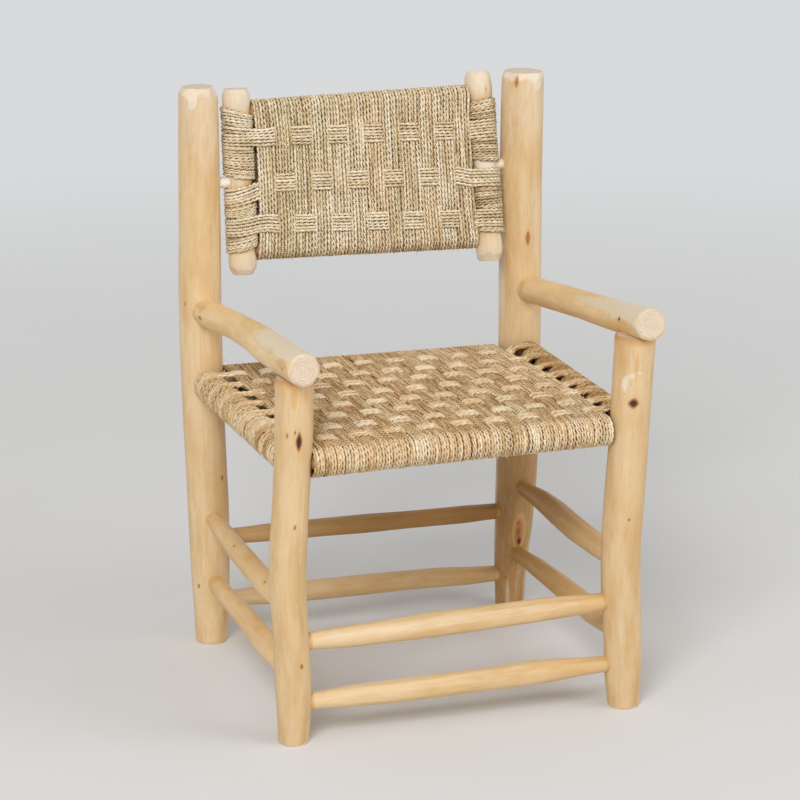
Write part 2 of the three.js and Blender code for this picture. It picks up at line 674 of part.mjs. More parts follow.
function backPad(left, right, middle, face) {
  const bevel = backWeave.floatBevel;
  const half = backWeave.bandWidth / 2;
  const ring = (inset, out) => {
    const corners = [
      [left + inset, -half + inset], [right - inset, -half + inset],
      [right - inset, half - inset], [left + inset, half - inset],
    ].map(([x, z]) => point(x, face * (backOuter + out), middle(x) + z));
    return face < 0 ? corners : corners.reverse();
  };
  const rings = [ring(0, -backWeave.thickness / 2), ring(bevel, backWeave.floatHeight)];
  return solid(leaned(skin(rings, false)));
}

const backPitch = (backRight - backLeft) / backWeave.groups;
for (const [band, shares] of backWeave.bandShares.entries()) {
  const ends = [0, 1].map((side) => lerp(bottomRailHeights[side], topRailHeights[side], shares[side]));
  for (let group = 0; group < backWeave.groups; group += 1) {
    if (group % 2 === band % 2) {
      const middle = (x) => lerp(...ends, (x - backLeft) / (backRight - backLeft));
      const left = backLeft + group * backPitch + backWeave.grooveWidth;
      const right = left + backPitch - 2 * backWeave.grooveWidth;
      for (const face of [-1, 1]) backWarp = backWarp.add(backPad(left, right, middle, face));
    }
  }
}

// Weft turns round a stile, open where the peg goes in
function stileWrap(stile, outward) {
  const low = point(stile.x, 0, -stile.wrapBelow);
  const high = point(stile.x, 0, stile.wrapAbove);
  const length = stile.wrapAbove + stile.wrapBelow;
  const outer = stile.woundRadius + backWeave.wrapThickness;
  const tube = (radius, extra) => solid(leanedStile(
    stick(low, high, [[-extra, radius, 0], [length + extra, radius, 0]], uprightSides), stile));
  const notch = new THREE.BoxGeometry(outer * 2, outer * 2 + endChamfer, backWeave.pegGap);
  notch.translate(stile.x + outward * outer / 2, 0, 0);
  let wrap = tube(outer, 0)
    .subtract(tube(stile.woundRadius + clearance, endChamfer))
    .subtract(solid(leanedStile(notch, stile)));
  for (const cutter of backRailCutters) wrap = wrap.subtract(cutter);
  return wrap;
}

// The chair, set with the middle of its box over the origin and its soles on the floor
const chair = new THREE.Group();
const railNames = Object.keys(railSolids);
for (const name of Object.keys(posts)) chair.add(meshOf(name, posts[name], peeledWood));
for (const name of Object.keys(arms)) chair.add(meshOf(name, arms[name], peeledWood));
for (const name of railNames) {
  chair.add(meshOf(name, railSolids[name], name.startsWith('seat') ? hiddenWood : peeledWood));
}
chair.add(meshOf('seat_warp', seatWarp, rope));
chair.add(meshOf('seat_weft_left', seatWeftLeft, rope));
chair.add(meshOf('seat_weft_right', seatWeftRight, rope));
for (const side of Object.keys(stiles)) {
  chair.add(meshOf(`back_${side}_stile`, stiles[side], peeledWood));
  chair.add(meshOf(`${side}_pivot_peg`, pegs[side], peeledWood));
}
chair.add(meshOf('back_top_rail', backRails.top, hiddenWood));
chair.add(meshOf('back_bottom_rail', backRails.bottom, hiddenWood));
chair.add(meshOf('back_warp', backWarp, rope));
chair.add(meshOf('back_weft_left', stileWrap(leftStile, -1), rope));
chair.add(meshOf('back_weft_right', stileWrap(rightStile, 1), rope));

const box = new THREE.Box3().setFromObject(chair);
const middle = box.getCenter(point(0, 0, 0));
chair.position.set(-middle.x, -middle.y, -box.min.z);
const shown = (v) => v.toArray().map((value) => value.toFixed(2)).join(', ');
console.log('moved by', shown(chair.position), 'box', shown(box.getSize(point(0, 0, 0))));
console.log('peg axis', shown(point(0, pegAxis.y, pegAxis.height).add(chair.position)));

export default chair;
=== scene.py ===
import json
import math

import bpy
import numpy as np
from mathutils import Euler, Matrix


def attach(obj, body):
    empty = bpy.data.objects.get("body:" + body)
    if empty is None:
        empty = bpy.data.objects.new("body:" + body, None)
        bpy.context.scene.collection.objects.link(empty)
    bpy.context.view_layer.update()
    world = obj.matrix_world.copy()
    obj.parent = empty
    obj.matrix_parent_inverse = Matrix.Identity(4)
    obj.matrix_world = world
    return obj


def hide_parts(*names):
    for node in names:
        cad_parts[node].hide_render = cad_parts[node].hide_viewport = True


# Peeled-branch armchair with a rope-woven seat and a swivelling rope-woven back.
# Lengths are in millimetres until a mesh is made; +Z is up and the chair faces -Y.

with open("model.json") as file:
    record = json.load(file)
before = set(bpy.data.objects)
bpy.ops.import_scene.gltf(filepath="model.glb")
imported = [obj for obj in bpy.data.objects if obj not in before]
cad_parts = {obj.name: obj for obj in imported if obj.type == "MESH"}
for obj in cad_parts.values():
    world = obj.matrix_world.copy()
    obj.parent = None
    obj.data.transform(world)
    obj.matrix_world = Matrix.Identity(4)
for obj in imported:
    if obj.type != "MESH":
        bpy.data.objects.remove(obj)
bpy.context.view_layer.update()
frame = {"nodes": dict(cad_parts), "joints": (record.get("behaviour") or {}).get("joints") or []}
MM = 0.001
FULL_TURN = 2 * np.pi
X_AXIS, Y_AXIS, Z_AXIS = np.eye(3)
HINGE = np.array(frame["joints"][0]["pos_m"]) / MM

# The camera stands where the photograph was taken from, measured from the peg axis.
CAMERA_FROM_HINGE = np.array([-1471.0, -4444.7, 941.2])
CAMERA_TURN = Euler((math.radians(74.305), 0.0, math.radians(-19.05)))
LENS, SENSOR, IMAGE = 135.0, 36.0, 800
camera_place = HINGE + CAMERA_FROM_HINGE


def smooth_step(x):
    x = np.clip(x, 0.0, 1.0)
    return x * x * (3 - 2 * x)


def bell(x):
    return np.exp(-0.5 * x ** 2)


def lerp(a, b, t):
    return a + (b - a) * t


def unit(v):
    return v / np.linalg.norm(v, axis=-1, keepdims=True)


def turned_off(angle, facing):
    """Angle from one direction to another, within half a turn either way."""
    return (angle - facing + np.pi) % FULL_TURN - np.pi


def shaded(colour, *shares):
    """A colour with its red, green and blue each times a share."""
    return tuple(value * share for value, share in zip(colour, shares)) + (1,)


# Materials

BUMP_DEPTH = 0.0006


class Nodes:
    """Builds the nodes of one material or world; colour is what has been painted so far."""

    def __init__(self, owner):
        owner.use_nodes = True
        self.tree = owner.node_tree
        self.colour = None

    def plug(self, socket, value):
        if isinstance(value, bpy.types.NodeSocket):
            self.tree.links.new(value, socket)
        else:
            socket.default_value = value

    def add(self, kind, inputs=None, **settings):
        made = self.tree.nodes.new("ShaderNode" + kind)
        for key, value in settings.items():
            setattr(made, key, value)
        for key, value in (inputs or {}).items():
            self.plug(made.inputs[key], value)
        return made

    def attribute(self, name, output="Fac"):
        return self.add("Attribute", attribute_name=name).outputs[output]

    def object_place(self):
        return self.add("TexCoord").outputs["Object"]

    def scaled(self, vector, scales):
        return self.add("VectorMath", {0: vector, 1: scales}, operation="MULTIPLY").outputs["Vector"]

    def length(self, vector):
        return self.add("VectorMath", {0: vector}, operation="LENGTH").outputs["Value"]

    def noise(self, place, scale, detail=3.0, rough=0.55):
        """Noise over a place; three scales stretch it along the three axes."""
        if isinstance(scale, tuple):
            place, scale = self.scaled(place, scale), 1.0
        inputs = {"Vector": place, "Scale": scale, "Detail": detail, "Roughness": rough}
        return self.add("TexNoise", inputs).outputs["Fac"]

    def ranged(self, value, low, high, out_low=0.0, out_high=1.0):
        inputs = {0: value, 1: low, 2: high, 3: out_low, 4: out_high}
        return self.add("MapRange", inputs, interpolation_type="SMOOTHSTEP").outputs[0]

    def maths(self, operation, a, b=0.0):
        return self.add("Math", {0: a, 1: b}, operation=operation).outputs[0]

    def weighted(self, *parts):
        """Sum of values, each times its weight."""
        total = self.maths("MULTIPLY", *parts[0])
        for part in parts[1:]:
            total = self.maths("ADD", total, self.maths("MULTIPLY", *part))
        return total

    def stirred(self, value, wave, strength):
        """A value moved up and down by a noise."""
        shift = self.maths("MULTIPLY", self.maths("SUBTRACT", wave, 0.5), strength)
        return self.maths("ADD", value, shift)

    def blended(self, factor, a, b, kind="MIX"):
        return self.add("Mix", {0: factor, 6: a, 7: b}, data_type="RGBA", blend_type=kind).outputs[2]

    def paint(self, mask, low, high, most, colour, kind="MIX"):
        """Lay a colour over the painted one: none where the mask is low, a share where it is high."""
        self.colour = self.blended(self.ranged(mask, low, high, 0.0, most), self.colour, colour, kind)

    def finish(self, roughness, relief, strength):
        """Give the shader the painted colour, a roughness and a relief."""
        shader = self.tree.nodes["Principled BSDF"]
        bump = self.add("Bump", {"Height": relief, "Strength": strength, "Distance": BUMP_DEPTH})
        self.plug(shader.inputs["Base Color"], self.colour)
        self.plug(shader.inputs["Roughness"], roughness)
        self.plug(shader.inputs["Normal"], bump.outputs["Normal"])


# Patterns in wood: waves per metre along the grain and in the two directions across, detail, roughness
WOOD_PATTERNS = {
    "broad": ((7, 26, 26), 3.0, 0.55),
    "blotch": ((16, 60, 60), 4.0, 0.65),
    "streaks": ((8, 170, 170), 3.0, 0.6),
    "layer_wander": ((9, 45, 45), 3.0, 0.55),
    "ragged": ((34, 150, 150), 4.0, 0.62),
    "fibres": ((40, 1300, 1300), 4.0, 0.7),
    "flecks": ((90, 620, 620), 2.0, 0.5),
    "ring_wander": ((20, 48, 48), 2.0, 0.55),
    "ring_breaks": ((10, 130, 130), 2.0, 0.55),
    "saw": ((0, 260, 1500), 3.0, 0.7),
}
INNER_BARK_AND_SHADE, FLECK = (0.56, 0.42, 0.22, 1), (0.3, 0.15, 0.06, 1)
STAIN_AND_SHADE_EDGE, STAIN_AND_SHADE_HEART = (0.68, 0.4, 0.15, 1), (0.44, 0.19, 0.06, 1)
KNOT_EDGE, KNOT_HEART = (0.4, 0.13, 0.04, 1), (0.035, 0.012, 0.006, 1)
END_RIM, YEAR_RING = (0.5, 0.3, 0.17, 1), (0.5, 0.31, 0.17, 1)
# Growth layers and year rings: radians per millimetre from the heart, and radians that they wander
LAYER_RATE, LAYER_WANDER = 4.6, 27.6
RING_RATE, RING_WANDER = 1.9, 24.0
HEART_OFF_CENTRE = (0, 3.5, 2.0)


def wood_material(name, pale, deep, fresh, roughness):
    material = bpy.data.materials.new(name)
    nodes = Nodes(material)
    grain = nodes.attribute("grain", "Vector")
    wave = {key: nodes.noise(grain, *pattern) for key, pattern in WOOD_PATTERNS.items()}
    across = nodes.scaled(grain, (0, 1 / MM, 1 / MM))
    # Broad changes of colour along the branch, blotches and streaks
    nodes.colour = pale
    nodes.paint(wave["broad"], 0.35, 0.68, 1.0, deep)
    nodes.paint(wave["blotch"], 0.52, 0.78, 0.55, shaded(deep, 0.84, 0.74, 0.62))
    nodes.paint(wave["streaks"], 0.53, 0.74, 0.34, shaded(deep, 0.86, 0.74, 0.55))
    # Growth layers cut through by the knife show as thin contour lines
    layers = nodes.weighted((nodes.length(across), LAYER_RATE), (wave["layer_wander"], LAYER_WANDER))
    layers = nodes.maths("SINE", layers)
    nodes.paint(layers, 0.1, 1.0, 0.07, shaded(deep, 0.8, 0.66, 0.5))
    # Inner bark that some branches kept, and painted shade where they lie in shadow under the seat
    nodes.colour = nodes.blended(nodes.attribute("deep"), nodes.colour, INNER_BARK_AND_SHADE, "MULTIPLY")
    # Knife facets: fresher, whiter wood
    cut = nodes.stirred(nodes.attribute("fresh"), wave["ragged"], 0.55)
    nodes.paint(cut, 0.15, 0.75, 0.92, fresh)
    # Long fine fibres and short brown flecks
    nodes.paint(wave["fibres"], 0.5, 0.85, 0.32, shaded(deep, 0.72, 0.62, 0.5))
    nodes.paint(wave["flecks"], 0.72, 0.8, 0.65, FLECK)
    # Stains, painted shade round the sockets, darker tops of the legs, and knots with a black heart
    stain_and_shade = nodes.stirred(nodes.attribute("stain_and_shade"), wave["blotch"], 0.5)
    nodes.paint(stain_and_shade, 0.12, 0.6, 0.75, STAIN_AND_SHADE_EDGE)
    nodes.paint(stain_and_shade, 0.6, 1.1, 0.8, STAIN_AND_SHADE_HEART)
    knot = nodes.stirred(nodes.attribute("knot"), wave["ragged"], 0.5)
    nodes.paint(knot, 0.08, 0.45, 0.88, KNOT_EDGE)
    nodes.paint(knot, 0.68, 1.0, 0.97, KNOT_HEART)
    # Cut ends: broken year rings under the marks of the saw, and a darker rim
    heart = nodes.add("VectorMath", {0: across, 1: HEART_OFF_CENTRE}, operation="ADD").outputs["Vector"]
    rings = nodes.weighted((nodes.length(heart), RING_RATE), (wave["ring_wander"], RING_WANDER))
    rings = nodes.ranged(nodes.maths("SINE", rings), -0.2, 1.0)
    rings = nodes.maths("MULTIPLY", rings, nodes.ranged(wave["ring_breaks"], 0.35, 0.65, 0.25, 0.7))
    face = nodes.blended(rings, shaded(fresh, 0.97, 0.93, 0.96), YEAR_RING)
    face = nodes.blended(nodes.ranged(wave["saw"], 0.45, 0.8, 0.0, 0.4), face, fresh)
    end = nodes.attribute("end")
    nodes.paint(end, 0.12, 0.4, 0.5, END_RIM)
    nodes.paint(end, 0.4, 0.8, 1.0, face)
    relief = nodes.weighted((wave["fibres"], -0.55), (wave["ragged"], 0.9), (layers, 0.12))
    nodes.finish(nodes.ranged(wave["fibres"], 0.3, 0.8, roughness - 0.07, roughness + 0.1), relief, 0.5)
    return material


# Patterns in rope, along the rope and in the two directions across, as in the wood
ROPE_PATTERNS = {
    "blades": ((60, 300, 300), 3.0, 0.65),
    "fine": ((170, 1500, 1500), 3.0, 0.6),
    "long_tone": ((11, 40, 40), 2.0, 0.55),
}
WEAVE_PATCHES = 21.0
RUSTY = (1.0, 0.87, 0.79, 1)
ROPE_SPECULAR = 0.14


def rope_material(name, dark, middle, light, green):
    material = bpy.data.materials.new(name)
    nodes = Nodes(material)
    lay = nodes.attribute("lay", "Vector")
    wave = {key: nodes.noise(lay, *pattern) for key, pattern in ROPE_PATTERNS.items()}
    wave["patch"] = nodes.noise(nodes.object_place(), WEAVE_PATCHES)
    # Each blade of grass is a streak a few centimetres long, in a tone of its own
    level = nodes.attribute("tone")
    for key, strength in (("blades", 2.5), ("long_tone", 0.9), ("patch", 0.7)):
        level = nodes.stirred(level, wave[key], strength)
    nodes.colour = dark
    nodes.paint(level, -0.1, 0.5, 1.0, middle)
    nodes.paint(level, 0.45, 1.05, 1.0, light)
    tint = nodes.attribute("tint")
    nodes.paint(tint, 0.0, 1.0, 0.8, green, "MULTIPLY")
    nodes.paint(tint, 0.0, -1.0, 0.8, RUSTY, "MULTIPLY")
    # Dark lines between the blades, and the shade in the grooves of the lay
    nodes.paint(wave["fine"], 0.52, 0.8, 0.5, shaded(dark, 0.5, 0.42, 0.36))
    nodes.paint(nodes.attribute("groove"), 0.2, 0.85, 1.0, shaded(dark, 0.44, 0.25, 0.1))
    nodes.tree.nodes["Principled BSDF"].inputs["Specular IOR Level"].default_value = ROPE_SPECULAR
    relief = nodes.weighted((wave["blades"], 1.0), (wave["fine"], 0.6))
    nodes.finish(nodes.ranged(wave["blades"], 0.3, 0.7, 0.6, 0.9), relief, 0.8)
    return material


# Wood: pale, deep and freshly cut colour, roughness
branch = wood_material("peeled_branch_wood", (0.80, 0.60, 0.355, 1), (0.70, 0.465, 0.215, 1),
                       (0.80, 0.70, 0.56, 1), 0.5)
arm_wood = wood_material("arm_branch_wood", (0.9, 0.665, 0.375, 1), (0.79, 0.53, 0.235, 1),
                         (0.79, 0.685, 0.52, 1), 0.5)
peg_wood = wood_material("whittled_peg_wood", (0.96, 0.89, 0.78, 1), (0.9, 0.78, 0.62, 1),
                         (0.97, 0.94, 0.88, 1), 0.6)
rail_wood = wood_material("hidden_rail_wood", (0.55, 0.38, 0.2, 1), (0.42, 0.26, 0.12, 1),
                          (0.6, 0.45, 0.28, 1), 0.7)
# Rope: dark, middle and light blades, and the tint of the greener ones
seat_rope = rope_material("seat_grass_rope", (0.47, 0.295, 0.14, 1), (0.80, 0.585, 0.32, 1),
                          (0.98, 0.86, 0.64, 1), (0.92, 0.93, 0.84, 1))
back_rope = rope_material("back_grass_rope", (0.50, 0.375, 0.22, 1), (0.82, 0.665, 0.43, 1),
                          (0.98, 0.89, 0.71, 1), (0.91, 0.94, 0.87, 1))


# Meshes

def new_piece(name, points, faces, body, nodes, slot, material, **attributes):
    mesh = bpy.data.meshes.new(name)
    mesh.from_pydata((np.asarray(points) * MM).tolist(), [], faces)
    for key, values in attributes.items():
        values = np.asarray(values, dtype=np.float32)
        kind, field = ("FLOAT_VECTOR", "vector") if values.ndim == 2 else ("FLOAT", "value")
        mesh.attributes.new(key, kind, "POINT").data.foreach_set(field, values.ravel())
    mesh.shade_smooth()
    mesh.materials.append(material)
    piece = bpy.data.objects.new(name, mesh)
    bpy.context.scene.collection.objects.link(piece)
    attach(piece, body)
    if nodes:
        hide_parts(*nodes)


def tube_faces(rings, sides, start=0):
    i = np.arange(rings - 1)[:, None] * sides
    j = np.arange(sides)[None, :]
    k = (j + 1) % sides
    quads = np.stack([i + j, i + k, i + sides + k, i + sides + j], axis=-1) + start
    return quads.reshape(-1, 4)


# Middle lines and radii of the CAD sticks

SECTION_STEP = 3.0
SECTORS = 20
AWAY_FROM_ENDS = (0.15, 0.85)
ODD_STEP = 1.5
MEDIAN_REACH = 3


def cad_mesh(name):
    mesh = frame["nodes"][name].data
    points = np.empty(len(mesh.vertices) * 3)
    mesh.vertices.foreach_get("co", points)
    mesh.calc_loop_triangles()
    triangles = np.empty(len(mesh.loop_triangles) * 3, dtype=int)
    mesh.loop_triangles.foreach_get("vertices", triangles)
    return points.reshape(-1, 3) / MM, triangles.reshape(-1, 3)


def outline(points, triangles, along, distance):
    """Where a plane across a stick cuts its surface."""
    height = points @ along - distance
    cuts = []
    for first, second in ((0, 1), (1, 2), (2, 0)):
        a, b = triangles[:, first], triangles[:, second]
        crossing = height[a] * height[b] < 0
        a, b = a[crossing], b[crossing]
        t = height[a] / (height[a] - height[b])
        cuts.append(points[a] + t[:, None] * (points[b] - points[a]))
    return np.concatenate(cuts)


def circle(flat):
    """Centre and radius of an outline. Its outermost points count, so that holes do not."""
    centre = (flat.min(axis=0) + flat.max(axis=0)) / 2
    for _ in range(6):
        away = flat - centre
        distance = np.hypot(away[:, 0], away[:, 1])
        sector = (np.arctan2(away[:, 1], away[:, 0]) / FULL_TURN % 1 * SECTORS).astype(int) % SECTORS
        farthest = np.zeros(SECTORS)
        np.maximum.at(farthest, sector, distance)
        radius = np.percentile(farthest[farthest > 0], 70)
        rim = flat[(distance > radius * 0.95) & (distance < radius * 1.1)]
        if len(rim) < 5:
            break
        table = np.column_stack([2 * rim, np.ones(len(rim))])
        centre = np.linalg.lstsq(table, (rim ** 2).sum(axis=1), rcond=None)[0][:2]
    return centre, radius


def smoothed(values, reach, extend):
    """Gaussian smoothing along a stick; extend continues straight past the ends."""
    width = int(3 * reach)
    kernel = bell(np.arange(-width, width + 1) / reach)
    kernel /= kernel.sum()
    columns = []
    for column in values.reshape(len(values), -1).T:
        before, after = column[1:width + 1][::-1], column[-width - 1:-1][::-1]
        if extend:
            before, after = 2 * column[0] - before, 2 * column[-1] - after
        columns.append(np.convolve(np.concatenate([before, column, after]), kernel, mode="valid"))
    return np.array(columns).T.reshape(values.shape)


class Stick:
    """Middle line and radius of a round CAD stick, read from its mesh between two trims."""

    def __init__(self, name, trim_start=2.0, trim_end=2.0, reach=3.0):
        self.points, self.triangles = cad_mesh(name)
        size = self.points.max(axis=0) - self.points.min(axis=0)
        side = Y_AXIS if size.argmax() == 0 else X_AXIS
        self.lay_along(np.eye(3)[int(size.argmax())], side)
        for _ in range(3):
            reachable = self.points @ self.along
            self.low, self.high = reachable.min(), reachable.max()
            ends = [self.section(lerp(self.low, self.high, share))[0] for share in AWAY_FROM_ENDS]
            self.lay_along(unit(ends[1] - ends[0]), side)
        self.at = np.arange(self.low + trim_start, self.high - trim_end, SECTION_STEP)
        found = [self.section(u) for u in self.at]
        middles = np.array([middle for middle, _ in found])
        radii = np.array([radius for _, radius in found])
        for values in (middles[:, 0], middles[:, 1], middles[:, 2], radii):
            padded = np.pad(values, MEDIAN_REACH, mode="edge")
            window = np.lib.stride_tricks.sliding_window_view(padded, 2 * MEDIAN_REACH + 1)
            median = np.median(window, axis=1)
            odd = np.abs(values - median) > ODD_STEP
            values[odd] = median[odd]
        self.middles = smoothed(middles, reach, True)
        self.radii = smoothed(radii, reach, False)

    def lay_along(self, along, side):
        self.along = along
        self.side = unit(side - (side @ along) * along)
        self.up = np.cross(along, self.side)

    def section(self, u):
        cut = outline(self.points, self.triangles, self.along, u)
        centre, radius = circle(np.column_stack([cut @ self.side, cut @ self.up]))
        return self.along * u + self.side * centre[0] + self.up * centre[1], radius

    def middle(self, u):
        u = np.asarray(u, dtype=float)
        place = np.stack([np.interp(u, self.at, self.middles[:, k]) for k in range(3)], axis=-1)
        beyond = u - np.clip(u, self.at[0], self.at[-1])
        return place + beyond[..., None] * self.along

    def radius(self, u):
        return np.interp(u, self.at, self.radii)

    def around(self, angle):
        """Directions out of the stick at some angles round it."""
        return np.cos(angle)[..., None] * self.side + np.sin(angle)[..., None] * self.up


def seen(pixel):
    """Ray from the camera through a pixel of the photograph."""
    turn = np.array(CAMERA_TURN.to_matrix())
    pixels_away = LENS / SENSOR * IMAGE
    right, up = pixel[0] - IMAGE / 2, IMAGE / 2 - pixel[1]
    return unit(turn @ np.array([right / pixels_away, up / pixels_away, -1.0]))


def spot(stick, pixel):
    """Distance along a stick and angle round it of the point that a pixel shows."""
    ray = seen(pixel)
    away = stick.middles - camera_place
    across = away - (away @ ray)[:, None] * ray
    u = stick.at[int(np.linalg.norm(across, axis=1).argmin())]
    for _ in range(8):
        axis = unit(stick.middle(u + 2 * SECTION_STEP) - stick.middle(u - 2 * SECTION_STEP))
        offset = camera_place - stick.middle(u)
        ray_across, offset_across = ray - (ray @ axis) * axis, offset - (offset @ axis) * axis
        a, b = ray_across @ ray_across, ray_across @ offset_across
        c = offset_across @ offset_across - stick.radius(u) ** 2
        point = camera_place + ray * (-b - math.sqrt(max(b * b - a * c, 0.0))) / a
        u = point @ stick.along
    surface = point - stick.middle(u)
    return u, math.atan2(surface @ stick.up, surface @ stick.side)


# Whittled branches

SLACK_ANGLE = 1.2
FINE_ROW, ROW_GAP = 0.9, 0.4
INNER_RINGS = (0.86, 0.7, 0.52, 0.34, 0.16)
# Knife cuts round an end: slope, share of the cut height that they reach, and how many
KNIFE_CUTS = ((0.42, 1.0, 9), (0.95, 0.42, 11))

# Knots: pixel of the photograph, length, width, darkness and rise
KNOTS = {
    "front_left_leg": [((299, 442), 17, 6.0, 1.15, 0.9), ((295, 433), 6, 1.8, 0.6, 0.3),
                       ((287, 436), 7, 2.6, 0.4, 0.2), ((295, 528), 4, 2.6, 0.8, 0.4),
                       ((302, 667), 5, 3.0, 0.8, 0.4)],
    "front_right_leg": [((633.5, 403.5), 9, 9.5, 1.15, 0.9), ((629, 520), 3, 2.2, 0.7, 0.3)],
    "rear_right_post": [((528, 238), 15, 5.2, 0.72, 0.8), ((506, 577), 4, 2.6, 0.8, 0.4),
                        ((518.5, 523), 9, 3.0, 0.5, 0.1), ((518.5, 532), 12, 4.4, 0.8, 0.2),
                        ((519, 541), 10, 5.5, 1.0, 0.2), ((516.6, 82), 12, 4.0, 0.62, 0.4),
                        ((510, 108), 2, 1.6, 0.7, 0.1)],
    "rear_left_post": [((222, 478), 6, 3.4, 0.8, 0.5), ((185, 304), 4, 2.6, 0.7, 0.3),
                       ((199, 586), 4, 2.6, 0.7, 0.3)],
    "right_arm": [((619, 319), 5, 4.0, 1.0, 0.5)],
    "left_arm": [((200, 318), 8, 3.6, 0.85, 0.6), ((282, 369), 4, 3.0, 0.6, 0.3)],
    "left_upper_stretcher": [((234, 546), 5, 3.0, 0.7, 0.4), ((265, 582), 4, 2.6, 0.7, 0.3)],
    "left_lower_stretcher": [((231, 580), 6, 2.6, 0.45, 0.3)],
    "back_right_stile": [((486, 89), 6, 1.6, 0.5, 0.2)],
}
# Freshly cut patches: pixel, length, width and strength
PATCHES = {
    "rear_left_post": [((192, 98), 17, 9, 0.8), ((186, 92), 10, 12, 0.6)],
    "rear_right_post": [((524, 70), 17, 80, 0.9), ((538, 80), 14, 10, 0.9)],
    "front_right_leg": [((625, 383.5), 11, 5, 0.9), ((631, 376.5), 5, 8, 0.6), ((638, 373.5), 3, 8, 0.5)],
    "left_arm": [((286, 344), 122, 26, 0.95), ((262, 323), 60, 6, 0.7)],
    "right_arm": [((600, 303), 95, 8, 0.9), ((628, 309), 80, 20, 0.95), ((642, 320), 36, 34, 0.95)],
    "back_left_stile": [((240, 181), 9, 7, 0.5)],
    "back_right_stile": [((487, 160), 15, 20, 0.95), ((500, 162), 13, 20, 0.9)],
}
# Stains of bark: pixel, length, width and strength
STAINS = {
    "left_upper_stretcher": [((247, 558), 20, 9, 0.55)],
    "left_lower_stretcher": [((214, 580), 16, 9, 0.6), ((257, 628), 22, 8, 0.45)],
    "rear_right_post": [((519, 532), 34, 12, 1.0)],
    "front_left_leg": [((294, 398), 22, 6, 0.6), ((306, 395), 16, 5, 0.45)],
    "front_right_leg": [((637, 366), 24, 4, 0.5), ((626, 360), 14, 6, 0.4)],
    "left_arm": [((281, 364), 30, 9, 0.6), ((268, 350), 40, 8, 0.3), ((202, 308), 12, 13, 0.45)],
    "right_arm": [((622, 322), 30, 6, 0.4), ((521, 287), 12, 15, 0.5)],
}


